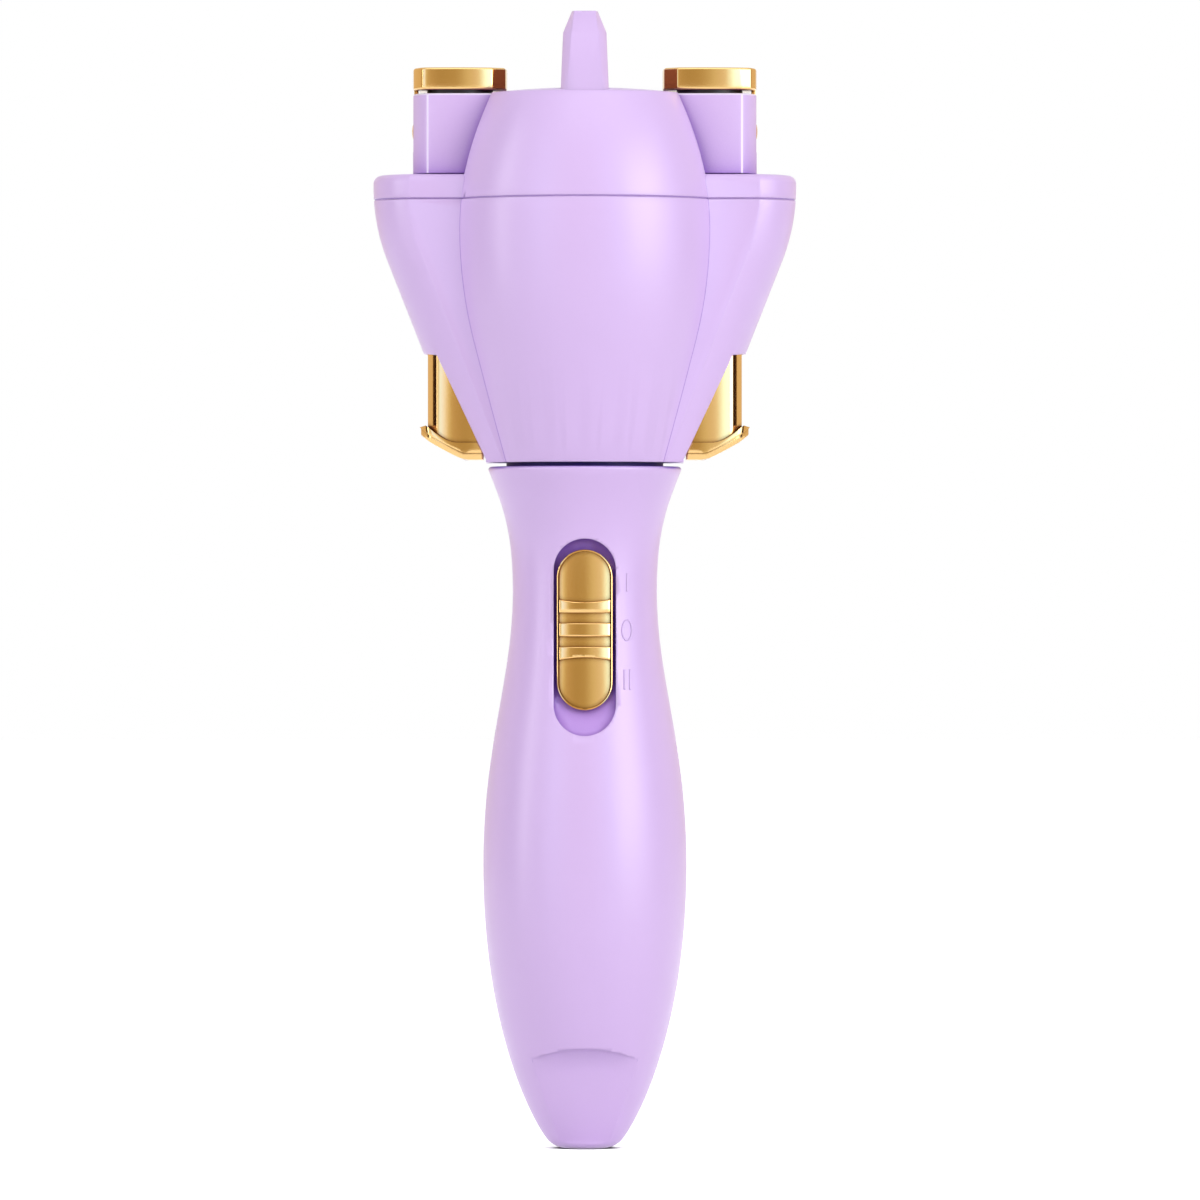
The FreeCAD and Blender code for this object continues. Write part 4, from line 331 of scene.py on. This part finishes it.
# ------------------------------------------------------------------ towers
# Each clamp stands on a spinning tower: a block moulded in the same lavender
# ABS, with slightly bowed faces, two slanted faces at each corner, a bevelled
# top rim and a groove down its outer face for the cap's leg. Its faces carry
# painted shade that deepens towards the barrel, and its rounded edges a
# lighter painted highlight.
TURRET_X = 28.0
TOWER_LOW, TOWER_TOP = 218.5, 236.4
GROOVE_IN, GROOVE_HALF, GROOVE_LOW = 37.2, 2.8, 223.4
# The hollow stem under the block, which carries the gear: distance from its axis, and height
STEM = [(4.2, 196.0), (5.2, 196.0), (5.2, 203.0), (6.0, 203.0), (6.0, 210.9), (7.5, 210.9), (7.5, 218.6),
        (4.2, 218.6)]
# painted shade: the tower's colour deepens by ambient occlusion within 18 mm, darkest by the barrel
tower_painted_shade = moulded_plastic("moulded_lavender_abs_tower", "8048C0", 0.018, 0.15, 0.97)


def arc(a, b, c, steps):
    """Points along the round line from a through b to c."""
    (ax, ay), (bx, by), (cx, cy) = a, b, c
    d = 2 * (ax * (by - cy) + bx * (cy - ay) + cx * (ay - by))
    aa, bb, cc = ax * ax + ay * ay, bx * bx + by * by, cx * cx + cy * cy
    ux = (aa * (by - cy) + bb * (cy - ay) + cc * (ay - by)) / d
    uy = (aa * (cx - bx) + bb * (ax - cx) + cc * (bx - ax)) / d
    radius = math.hypot(ax - ux, ay - uy)
    start = math.atan2(ay - uy, ax - ux)
    turn = (math.atan2(cy - uy, cx - ux) - start) % math.tau
    if (math.atan2(by - uy, bx - ux) - start) % math.tau > turn:
        turn -= math.tau
    angles = [start + turn * i / steps for i in range(steps + 1)]
    return [(ux + radius * math.cos(a), uy + radius * math.sin(a)) for a in angles]


TOWER_PLAN = (arc((-7.2, -8.45), (0, -8.9), (7.2, -8.45), 14) + [(8.6, -7.15)]
              + arc((10.3, -4.3), (10.6, 0), (10.3, 4.3), 8) + [(8.6, 7.15)]
              + arc((7.2, 8.45), (0, 8.9), (-7.2, 8.45), 14) + [(-8.6, 7.15)]
              + arc((-10.3, 4.3), (-10.6, 0), (-10.3, -4.3), 8) + [(-8.6, -7.15)])


def push(outline, low, high, axis=2):
    """A flat outline pushed from one level to another, along Z (2) or along Y (1)."""
    shape = bmesh.new()
    corners = [(a, b, low) if axis == 2 else (a, low, b) for a, b in outline]
    base = shape.faces.new([shape.verts.new(c) for c in corners])
    step = (0, 0, high - low) if axis == 2 else (0, high - low, 0)
    bmesh.ops.translate(shape, vec=step, verts=draw_out(shape, [base]))
    bmesh.ops.recalc_face_normals(shape, faces=shape.faces)
    return shape


def slab(near, far, half, low, high):
    """A block between two distances to the right of the middle."""
    return push([(near, -half), (far, -half), (far, half), (near, half)], low, high)


def round_edges(shape, edges, width, segments=3, material=-1):
    """Rounds some edges of a shape."""
    bmesh.ops.bevel(shape, geom=edges, offset=width, offset_type="OFFSET", affect="EDGES",
                    segments=segments, profile=0.5, material=material, clamp_overlap=True)


def sharp(shape, degrees, keep=lambda e: True):
    """Edges whose faces meet at more than an angle, and that pass a test."""
    return [e for e in shape.edges if len(e.link_faces) == 2
            and e.calc_face_angle(0) > math.radians(degrees) and keep(e)]


def upright(e):
    """True for an edge that runs straight up."""
    return abs(e.verts[0].co.z - e.verts[1].co.z) > 1


def level_at(z):
    """Test for edges that lie at a height."""
    return lambda e: all(abs(v.co.z - z) < 0.01 for v in e.verts)


def join(shape, other):
    """Adds another shape to a shape, as it is."""
    mesh = bpy.data.meshes.new("part")
    other.to_mesh(mesh)
    other.free()
    shape.from_mesh(mesh)
    bpy.data.meshes.remove(mesh)


def mirror(shape):
    """Moves a shape made for the right side to the left."""
    bmesh.ops.scale(shape, vec=(-1, 1, 1), verts=shape.verts)
    bmesh.ops.reverse_faces(shape, faces=shape.faces)


def piece_mm(name, shape):
    """A shape in millimetres as a new object in metres, faces outwards."""
    bmesh.ops.scale(shape, vec=(0.001, 0.001, 0.001), verts=shape.verts)
    bmesh.ops.recalc_face_normals(shape, faces=shape.faces)
    return piece(name, shape)


def cut_out(made, tool, how="DIFFERENCE"):
    """Cuts a shape in millimetres out of a piece, or does with it what the last word says."""
    other = piece_mm("tool", tool)
    step = made.modifiers.new("cut", "BOOLEAN")
    step.operation = how
    step.solver = "EXACT"
    step.object = other
    made.data = bpy.data.meshes.new_from_object(made.evaluated_get(bpy.context.evaluated_depsgraph_get()))
    made.modifiers.clear()
    bpy.data.objects.remove(other)


for name, side in SIDES:
    block = push([(x + TURRET_X, y) for x, y in TOWER_PLAN], TOWER_LOW, TOWER_TOP)
    round_edges(block, sharp(block, 25, upright), 0.25, 2, 1)
    round_edges(block, sharp(block, 60, level_at(TOWER_TOP)), 0.4, 2, 1)
    tower = piece_mm("tower_" + name + "_moulding", block)
    cut_out(tower, slab(GROOVE_IN, 40, GROOVE_HALF, GROOVE_LOW, 240))
    whole = bmesh.new()
    whole.from_mesh(tower.data)
    bmesh.ops.scale(whole, vec=(1000, 1000, 1000), verts=whole.verts)
    stem = bmesh.new()
    ring = [stem.verts.new((r, 0, z)) for r, z in STEM]
    edges = [stem.edges.new((ring[i - 1], ring[i])) for i in range(len(ring))]
    bmesh.ops.spin(stem, geom=ring + edges, cent=(0, 0, 0), axis=(0, 0, 1), angle=math.tau, steps=48,
                   use_merge=True)
    bmesh.ops.translate(stem, vec=(TURRET_X, 0, 0), verts=stem.verts)
    bmesh.ops.recalc_face_normals(stem, faces=stem.faces)
    join(whole, stem)
    if side < 0:
        mirror(whole)
    bmesh.ops.scale(whole, vec=(0.001, 0.001, 0.001), verts=whole.verts)
    whole.to_mesh(tower.data)
    whole.free()
    smooth(tower, 35)
    settle(tower, "turret_" + name, ["tower_" + name], [tower_painted_shade, ridge_painted_highlight])

# ------------------------------------------------------------------ clamp caps
# The caps that grip the hair are moulded ABS with a bright gold plate over a
# nickel layer. Each has a boss under it, drawn black as painted shade, and a
# leg with an oval button that runs in the tower's groove. The facets that face
# the barrel get a darker plate as a painted dark reflection.
CAP_LOW, CAP_TOP = 237.2, 242.2
CAP_FRONT, CAP_BOW, CAP_HALF = 8.9, 1.15, 8.3       # crest of the front, how far it falls, over what width
CAP_CREST = 1.6                                     # the crest's distance to the left of the axis
CAP_STEPS = (-7.4, -6.8, -6.2, -5.6, -5.0, -4.2, -3.4, -2.4, -1.2, 0.0, 1.2, 2.4, 3.4, 4.2, 5.0, 5.6, 6.2,
             6.8, 7.4, 8.3)
LEG_IN, LEG_OUT, LEG_HALF, LEG_LOW, LEG_TOP = 37.35, 38.3, 2.5, 224.0, 239.0
BUTTON_SIZE, BUTTON_X, BUTTON_Z = (0.6, 1.3, 2.2), 38.15, 228.1
BOSS_R, BOSS_MID, BOSS_HIGH = 7.4, 237.4, 1.9
PLATE_ROUGH = 0.13


def plated(name, tone):
    """Bright plate over moulded ABS: a mirror with a very slight 1.1 mm ripple from the moulding under it,
    a polish that drifts over 17 mm, and painted shade in the corners, mixed towards brown by ambient
    occlusion."""
    made, tree, out = bare(name)
    place = add(tree, "TexCoord")
    fine = add(tree, "TexNoise", {}, Vector=place.outputs["Object"], Scale=900.0, Detail=2.0)
    wide = add(tree, "TexNoise", {}, Vector=place.outputs["Object"], Scale=60.0, Detail=1.0)
    # painted shade: the plate turns brown where ambient occlusion finds nearby faces
    corner = add(tree, "AmbientOcclusion", {"samples": 6, "only_local": True}, Distance=0.0011)
    painted_shade_mix = add(tree, "MapRange", {}, Value=corner.outputs["AO"], From_Min=0.4, From_Max=0.9)
    colour = add(tree, "Mix", {"data_type": "RGBA"}, Factor=painted_shade_mix.outputs[0], i6=linear("6E3A10"),
                 i7=linear(tone))
    sheen = add(tree, "MapRange", {}, Value=wide.outputs[0], To_Min=PLATE_ROUGH - 0.02,
                To_Max=PLATE_ROUGH + 0.02)
    ripple = add(tree, "Bump", {}, Strength=0.05, Distance=0.0001, Height=fine.outputs[0])
    skin = add(tree, "BsdfPrincipled", {}, Base_Color=colour.outputs[2], Metallic=1.0,
               Roughness=sheen.outputs[0], Normal=ripple.outputs[0])
    tree.links.new(skin.outputs[0], out.inputs["Surface"])
    return made


def plain(name, tone, rough, metal=0.0):
    """A moulded or turned surface that shows little: one even tone, with a 0.7 mm grain in its sheen."""
    made, tree, out = bare(name)
    place = add(tree, "TexCoord")
    fine = add(tree, "TexNoise", {}, Vector=place.outputs["Object"], Scale=1500.0, Detail=2.0)
    spread = add(tree, "MapRange", {}, Value=fine.outputs[0], To_Min=rough - 0.08, To_Max=rough + 0.08)
    ripple = add(tree, "Bump", {}, Strength=0.1, Distance=0.0001, Height=fine.outputs[0])
    skin = add(tree, "BsdfPrincipled", {}, Base_Color=linear(tone), Metallic=metal,
               Roughness=spread.outputs[0], Normal=ripple.outputs[0])
    tree.links.new(skin.outputs[0], out.inputs["Surface"])
    return made


gold = plated("electroplated_gold", "E4BE80")
gold_painted_dark_reflection = plated("electroplated_gold_thin", "A0622E")   # darker plate on the facets that face the barrel: a painted dark reflection
black_pa = plain("moulded_black_nylon", "100C16", 0.45)


def cap_plan(crest):
    """A cap's outline round its axis: a bowed front and back with their crest a little off the middle,
    a facet at each inner corner and two at each outer one. It is for the right side, or to be mirrored."""
    front = [(x, -(CAP_FRONT - CAP_BOW * abs((x - crest) / CAP_HALF) ** 2.3)) for x in CAP_STEPS]
    front += [(9.2, -6.85), (10.3, -4.3)]
    outer = arc((10.3, -4.3), (10.6, 0), (10.3, 4.3), 8)
    inner = arc((-10.2, 5.48), (-10.6, 0), (-10.2, -5.48), 8)
    return front + outer[1:-1] + [(x, -y) for x, y in reversed(front)] + inner


for name, side in SIDES:
    cap = push([(x + TURRET_X, y) for x, y in cap_plan(-CAP_CREST * side)], CAP_LOW, CAP_TOP)
    round_edges(cap, sharp(cap, 14, upright), 0.22)
    round_edges(cap, sharp(cap, 60, level_at(CAP_TOP)), 0.9, 5)
    round_edges(cap, sharp(cap, 60, level_at(CAP_LOW)), 0.55, 4)
    leg = slab(LEG_IN, LEG_OUT, LEG_HALF, LEG_LOW, LEG_TOP)
    round_edges(leg, sharp(leg, 60), 0.2, 2)
    join(cap, leg)
    button = bmesh.new()
    bmesh.ops.create_uvsphere(button, u_segments=24, v_segments=12, radius=1.0)
    bmesh.ops.scale(button, vec=BUTTON_SIZE, verts=button.verts)
    bmesh.ops.translate(button, vec=(BUTTON_X, 0, BUTTON_Z), verts=button.verts)
    join(cap, button)
    # The boss is drawn black: painted shade under the cap.
    boss = bmesh.new()
    bmesh.ops.create_cone(boss, cap_ends=True, segments=64, radius1=BOSS_R, radius2=BOSS_R, depth=BOSS_HIGH)
    bmesh.ops.translate(boss, vec=(TURRET_X, 0, BOSS_MID), verts=boss.verts)
    for face in boss.faces:
        face.material_index = 1
    join(cap, boss)
    # Facets that face the barrel get the darker plate: a painted dark reflection.
    for face in cap.faces:
        across, along, up = face.normal
        if across < -0.4 and abs(along) > 0.4 and abs(up) < 0.2 and face.material_index == 0:
            face.material_index = 2
    if side < 0:
        mirror(cap)
    made = piece_mm("clamp_cap_" + name, cap)
    smooth(made, 40)
    settle(made, "clip_" + name, ["clip_cap_" + name], [gold, black_pa, gold_painted_dark_reflection])

# ------------------------------------------------------------------ levers
# Two plated blocks that a finger lifts to open the clamps. The front bows
# back towards the outer edge, a slanted face leads round to the narrow outer
# face, and the foot sweeps up to a finger tip like a sled, in two tiers.
LEVER_PLAN = arc((22.7, -8.0), (28.6, -7.88), (33.1, -6.8), 12) + [(34.12, -5.62), (35.2, -3.0)]
FOOT_PLAN = arc((22.7, -8.5), (29.2, -8.48), (34.9, -7.1), 16) + [(35.6, -6.4), (37.0, -4.1)]
LEVER_IN, LEVER_TOP = 22.7, 183.9
TIER, TIER_IN, LAP = 1.5, 0.3, 0.3                  # the lower tier: its height, how far it stands back
TOP_Z, TOP_RISE, TOP_FROM, TOP_RUN = 158.2, 3.9, 28.6, 6.9
LIP_FROM, LIP_DROP = 35.9, 0.35
LOW_Z, LOW_RISE, LOW_FROM, LOW_RUN = 154.4, 4.1, 26.9, 8.1
NOSE_FROM, NOSE_RISE = 35.0, 1.7
RIB_OUT, RIB_REACH, RIB_FOOT = 24.7, 10.65, 179.5   # the guide ribs at the block's top


def sled_top(x):
    """Height of the foot's upper face at a distance from the middle."""
    part = max(0.0, min(1.0, (x - TOP_FROM) / TOP_RUN))
    return TOP_Z + TOP_RISE * part ** 1.7 - LIP_DROP * max(0.0, x - LIP_FROM) ** 2


def sled_low(x):
    """Height of the foot's underside at a distance from the middle."""
    part = max(0.0, min(1.0, (x - LOW_FROM) / LOW_RUN))
    return LOW_Z + LOW_RISE * part ** 1.15 + NOSE_RISE * max(0.0, (x - NOSE_FROM) / 2.0)


def slit(shape, place, across, near=0.0):
    """Parts a shape's faces along a plane. Points as near to the plane as this count as on it."""
    bmesh.ops.bisect_plane(shape, geom=shape.verts[:] + shape.edges[:] + shape.faces[:], dist=near,
                           plane_co=place, plane_no=across)


def sled(plan, low, high):
    """A plan outline as a solid between two curved levels, with both ends of the foot's curve in it."""
    shape = push(plan + [(x, -y) for x, y in reversed(plan)], 0.0, 1.0)
    for x, y in plan[1:-1]:
        slit(shape, (x, 0, 0), (1, 0, 0), 0.01)
    for v in shape.verts:
        v.co.z = high(v.co.x) if v.co.z > 0.5 else low(v.co.x)
    return shape


for name, side in SIDES:
    whole = sled(FOOT_PLAN, lambda x: sled_low(x) + TIER, sled_top)
    round_edges(whole, sharp(whole, 50), 0.22, 3)
    inset = [(x - TIER_IN, y * 0.955) if x > 23 else (x, y * 0.955) for x, y in FOOT_PLAN]
    tier = sled(inset, sled_low, lambda x: sled_low(x) + TIER + LAP)
    round_edges(tier, sharp(tier, 50, lambda e: e.verts[0].co.z < sled_low(e.verts[0].co.x) + 0.1), 0.2, 2)
    join(whole, tier)
    block = sled(LEVER_PLAN, lambda x: sled_low(x) + TIER + LAP + 0.1, lambda x: LEVER_TOP)
    round_edges(block, sharp(block, 12, lambda e: upright(e) and e.verts[0].co.x > 24), 0.14, 2)
    join(whole, block)
    join(whole, slab(LEVER_IN, RIB_OUT, RIB_REACH, RIB_FOOT, LEVER_TOP))
    if side < 0:
        mirror(whole)
    made = piece_mm("lever_" + name + "_plated", whole)
    smooth(made, 30)
    settle(made, "lever_" + name + "_body", ["lever_" + name], [gold])

# ------------------------------------------------------------------ switch knob
# The slide knob is plated ABS too: a thin bright rim round a sunk thumb face,
# and three ribs across its middle. It follows the handle's own curve.
KNOB_Z, KNOB_HALF, KNOB_LONG = 116.35, 6.25, 17.95
KNOB_DEEP, KNOB_BACK, KNOB_PLAY = 6.0, 17.2, 0.18
NECK_R = 16.18
PROUD_TOP, PROUD_MID, PROUD_LOW = 0.5, 0.7, 2.0     # the face's height over the neck's surface
THUMB_STEPS = ((0.12, -0.12), (0.14, 0.0), (0.10, 0.25), (0.06, 0.75))  # from rim to pad: step in, step down
RIB_HALF, RIB_PITCH, RIB_THICK, RIB_BOW = 5.8, 5.3, 1.5, 0.65
RIB_FRONT, RIB_BACK = 0.05, 1.3
PAD_DEEP, PAD_HALF, PAD_ROUND = 0.8, 5.85, 0.8      # the pad is a little flatter than the rim
STEM_HALF, STEM_LOW, STEM_TOP, STEM_BACK, STEM_FRONT = 1.5, 114.35, 118.35, -10.91, -14.5


def knob_face(z):
    """How far the knob's face stands in front of the axis at a height."""
    t = (z - KNOB_Z) / KNOB_LONG
    return (NECK_R + PROUD_MID + (PROUD_TOP - PROUD_LOW) / 2 * t
            + ((PROUD_TOP + PROUD_LOW) / 2 - PROUD_MID) * t * t)


turns = [math.pi * i / 32 for i in range(33)]
stadium = [(KNOB_HALF * math.cos(a), KNOB_LONG - KNOB_HALF + KNOB_HALF * math.sin(a)) for a in turns]
stadium += [(-x, -z) for x, z in stadium]
knob = push(stadium, 0.0, KNOB_DEEP, axis=1)
front = min(knob.faces, key=lambda f: f.calc_center_median().y)
for width, drop in THUMB_STEPS:
    bmesh.ops.inset_region(knob, faces=[front], thickness=width, depth=0.0, use_even_offset=True)
    for v in front.verts:
        v.co.y += drop
for step in (-1, 0, 1):
    top, foot = step * RIB_PITCH + RIB_THICK, step * RIB_PITCH - RIB_THICK
    far, near = [(RIB_HALF, top), (-RIB_HALF, top)], [(-RIB_HALF, foot), (RIB_HALF, foot)]
    if step > 0:
        far = arc(far[0], (0, top - RIB_BOW), far[1], 16)
    if step < 0:
        near = arc(near[0], (0, foot + RIB_BOW), near[1], 16)
    rib = push(far + near, RIB_FRONT, RIB_BACK, axis=1)
    round_edges(rib, sharp(rib, 60, lambda e: all(abs(v.co.y - RIB_FRONT) < 0.01 for v in e.verts)), 0.28, 3)
    join(knob, rib)
for z in range(-17, 18):
    slit(knob, (0, 0, z), (0, 0, 1))
for x in range(-5, 6):
    slit(knob, (x, 0, 0), (1, 0, 0))
for v in knob.verts:
    reach = knob_face(v.co.z + KNOB_Z)
    fall = reach - math.sqrt(reach ** 2 - v.co.x ** 2)
    if v.co.y > PAD_DEEP and abs(v.co.x) < PAD_HALF:
        fall *= PAD_ROUND
    if v.co.y < KNOB_DEEP - 1:
        v.co.y += fall - reach + KNOB_PLAY
    else:
        v.co.y -= KNOB_BACK
    v.co.z += KNOB_Z
stem = [(-STEM_HALF, STEM_LOW), (STEM_HALF, STEM_LOW), (STEM_HALF, STEM_TOP), (-STEM_HALF, STEM_TOP)]
join(knob, push(stem, STEM_FRONT, STEM_BACK, axis=1))
made = piece_mm("slide_knob", knob)
smooth(made, 35)
settle(made, "knob", ["switch_knob"], [gold])

# ------------------------------------------------------------------ handle casing
# Front shell, upper rear shell and battery door: lavender ABS from the same
# tool finish. The switch recess has a crisp rim, and the thumb scoop at the
# foot runs out into the round of the handle. The recess, the scoop under its
# ledge and the collar's top edge are painted darker as painted shade.
RECESS_Z, RECESS_HALF, RECESS_LONG = 114.7, 6.95, 22.0
COLLAR_LOW = 152.25                 # over this height the handle's top edge gets painted shade for the head above it
FOOT_CURVE = [(8.2, 1.65), (10.8, 4.45), (22.82, 24.56), (22.82, 63.56)]    # radius and height
SCOOP_TOP, SCOOP_CREST, SCOOP_WIDE = 20.3, 22.9, 12.0
SCOOP_FOOT, SCOOP_NARROW = 1.8, 5.6
SCOOP_DEEP_TOP, SCOOP_DEEP_FOOT, SCOOP_RUN = 2.9, 0.3, 4.5
SCOOP_UNDER, SCOOP_END = 3.0, 1.7   # how far the floor runs on under the foot; its curve ends here
FILL_LOW, FILL_TOP, FILL_HALF = 2.2, 23.6, 12.4
DOOR_EDGE, DOOR_FRONT = (0.0001, 0.0002), 0.00002   # metres: where the door's side edges lie, and come to
# Painted shade: each of these deepens its colour by ambient occlusion; the recess one also starts from a
# darker tone.
recess_painted_shade = moulded_plastic("moulded_lavender_abs_recess_painted_shade", "3A0EA0", 0.007, 0.10, 1.0, tone="BC92DE")
handle_lavender = moulded_plastic("moulded_lavender_abs_handle", "8A5AC8", 0.003, 0.1, 0.62)
shade_lavender = moulded_plastic("moulded_lavender_abs_ledge_painted_shade", "5A24B0", 0.005, 0.25, 0.97)


def handle_radius(z):
    """The lower handle's radius at a height, from its curve."""
    low, high = 0.0, 1.0
    for step in range(30):
        t = (low + high) / 2
        weights = ((1 - t) ** 3, 3 * t * (1 - t) ** 2, 3 * t * t * (1 - t), t ** 3)
        radius, level = [sum(w * p[i] for w, p in zip(weights, FOOT_CURVE)) for i in (0, 1)]
        low, high = (t, high) if level < z else (low, t)
    return radius


def scoop_face(u, v):
    """A point of the scoop's floor: u runs from side to side (-1 to 1), v from the foot (0) to the ledge
    (1). Past its sides and top the floor comes up through the handle's surface."""
    side = SCOOP_TOP * v + SCOOP_FOOT * (1 - v) - SCOOP_UNDER * (1 - v)
    wide = SCOOP_NARROW + (SCOOP_WIDE - SCOOP_NARROW) * (side - SCOOP_FOOT) / (SCOOP_TOP - SCOOP_FOOT)
    x, z = u * wide, side + (SCOOP_CREST - SCOOP_TOP) * (1 - u * u) * v ** 3
    radius = handle_radius(max(z, SCOOP_END))
    skin = math.sqrt(max(radius ** 2 - x ** 2, 0.01))
    rim = math.sqrt(max(radius ** 2 - min(wide, radius - 0.3) ** 2, 0.01))
    ledge = SCOOP_CREST - (SCOOP_CREST - SCOOP_TOP) * u * u
    fall = min(1.0, max(0.0, (ledge - z) / SCOOP_RUN))
    deep = SCOOP_DEEP_FOOT + (SCOOP_DEEP_TOP - SCOOP_DEEP_FOOT) * v
    bed = max(radius - deep, rim) * (1 - u * u) + rim * u * u
    floor = skin + (bed - skin) * math.sqrt(1 - (1 - fall) ** 2)
    return Vector((x, -floor if abs(u) < 1 and v < 1 else -(skin + 0.02), z))


def mend_scoop(shell):
    """Fills the hollow at the foot of the front shell up to its skin, then cuts the soft scoop into it."""
    filler = bmesh.new()
    bmesh.ops.create_grid(filler, x_segments=28, y_segments=28, size=1.0)
    for v in filler.verts:
        z = FILL_LOW + (FILL_TOP - FILL_LOW) * (v.co.y + 1) / 2
        x = v.co.x * min(handle_radius(z) - 1.2, FILL_HALF)
        v.co = Vector((x, -math.sqrt((handle_radius(z) - 0.04) ** 2 - x ** 2), z))
    for v in draw_out(filler, filler.faces[:]):
        v.co.y *= 0.8
    bmesh.ops.recalc_face_normals(filler, faces=filler.faces)
    cut_out(shell, filler, "UNION")
    tool = bmesh.new()
    bmesh.ops.create_grid(tool, x_segments=48, y_segments=56, size=1.0)
    for v in tool.verts:
        v.co = scoop_face(v.co.x, 1 - ((1 - v.co.y) / 2) ** 1.8)
    for v in draw_out(tool, tool.faces[:]):
        v.co.y = -30.0
    bmesh.ops.recalc_face_normals(tool, faces=tool.faces)
    cut_out(shell, tool)


for name, body in (("handle_front_shell", "handle"), ("handle_rear_shell", "handle"),
                   ("battery_door", "door")):
    shell = piece(name + "_moulding", from_node(name))
    if name == "handle_front_shell":
        mend_scoop(shell)
    if name == "battery_door":
        for v in shell.data.vertices:
            if DOOR_EDGE[0] < v.co.y < DOOR_EDGE[1]:
                v.co.y = DOOR_FRONT
    # Painted shade: recess faces get the recess tone; faces in the scoop under its ledge and on the collar's
    # top edge get the ledge tone.
    for face in shell.data.polygons:
        x, y, z = [c * 1000 for c in face.center]
        straight = max(0.0, abs(z - RECESS_Z) - (RECESS_LONG - RECESS_HALF))
        if y < -5 and math.hypot(x, straight) < RECESS_HALF + 0.03:
            face.material_index = 1
        if (y < -5 and 8 < z < 23.5 and abs(x) < 12.5) or z > COLLAR_LOW:
            face.material_index = 2
    smooth(shell, 28)
    settle(shell, body, [name], [handle_lavender, recess_painted_shade, shade_lavender])

# ------------------------------------------------------------------ switch marks
# Three marks beside the switch, raised a tenth of a millimetre in the same
# plastic: one bar for the strands' twist, a ring for off, two bars for the head.
MARK_X, MARK_WIDE, MARK_DEEP, MARK_PROUD = 9.45, 0.42, 0.4, 0.1
BARS = ((MARK_X, 124.9, 129.0), (MARK_X - 0.55, 103.0, 107.5), (MARK_X + 0.65, 103.0, 107.5))
RING_Z, RING_OUTER, RING_INNER = 116.25, (1.25, 2.45), (0.87, 2.07)
skin = bmesh.new()
skin.from_mesh(cad["handle_front_shell"].data)
handle_skin = BVHTree.FromBMesh(skin)
skin.free()


def on_handle(x, z, proud):
    """The handle's front at a place seen from the front, in millimetres."""
    hit = handle_skin.ray_cast(Vector((x / 1000, -0.06, z / 1000)), Vector((0, 1, 0)))[0]
    return Vector((x, hit.y * 1000 - proud, z))


marks = bmesh.new()
for x, low, high in BARS:
    left, right = x - MARK_WIDE / 2, x + MARK_WIDE / 2
    bar = push([(left, low), (right, low), (right, high), (left, high)], 0.0, MARK_DEEP, axis=1)
    bmesh.ops.subdivide_edges(bar, edges=[e for e in bar.edges if upright(e)], cuts=6, use_grid_fill=True)
    join(marks, bar)
ring = bmesh.new()
for half_x, half_z in (RING_OUTER, RING_INNER):
    for v in bmesh.ops.create_circle(ring, segments=40, radius=1.0)["verts"]:
        v.co = Vector((MARK_X + v.co.x * half_x, 0.0, RING_Z + v.co.y * half_z))
bmesh.ops.bridge_loops(ring, edges=ring.edges)
bmesh.ops.translate(ring, vec=(0, MARK_DEEP, 0), verts=draw_out(ring, ring.faces[:]))
join(marks, ring)
for v in marks.verts:
    v.co = on_handle(v.co.x, v.co.z, MARK_PROUD - v.co.y)
made = piece_mm("switch_marks", marks)
smooth(made, 35)
made.data.materials.append(handle_lavender)
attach(made, "handle")

# ------------------------------------------------------------------ inner parts
# Everything inside keeps its CAD shape: gears and trays in white acetal,
# sintered bushes, turned steel, the motor, the cells and the board. Only the
# drawn steel springs get copies with their own meshes; the real springs
# shorten, but nothing here shortens them.
spring = plain("drawn_spring_steel", "C6C7C9", 0.25, 1.0)
finishes = {"lavender_plastic": lavender, "gold_plate": gold, "black_plastic": black_pa,
            "spring_steel": spring,
            # near-black violet: painted shade for the gap under the head, where the neck washer shows
            "violet_plastic": plain("violet_acetal_painted_shade", "2C1070", 0.55),
            "white_plastic": plain("moulded_white_acetal", "ECEAE6", 0.35),
            "board": plain("green_circuit_board", "1E5B3A", 0.5),
            "bronze": plain("sintered_bronze", "9C7A4A", 0.4, 1.0),
            "steel": plain("turned_steel", "B9BBBE", 0.3, 1.0),
            "cell_jacket": plain("printed_cell_jacket", "3D7E5C", 0.3),
            "motor_can": plain("zinc_plated_motor_can", "A9ABAE", 0.32, 1.0)}
for node in cad.values():
    for place in node.material_slots:
        place.material = finishes[place.material.name.split(".")[0]]

# The coil springs shorten by 6 mm as their lever or clamp lifts: of 19.1 mm, and of 10.9 mm.
# Here each is only copied and given its body; nothing shortens it.
for side in ("left", "right"):
    for kind, body, joint, foot, keep in (
            ("lever_spring_", "lever_" + side + "_body", "lever_lift_", 0.1799, 0.68),
            ("clip_spring_", "clip_" + side, "clip_lift_", 0.2020, 0.44)):
        coil = piece(kind + side + "_wire", from_node(kind + side))
        smooth(coil, 60)
        settle(coil, body, [kind + side], [spring])
        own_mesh(coil)
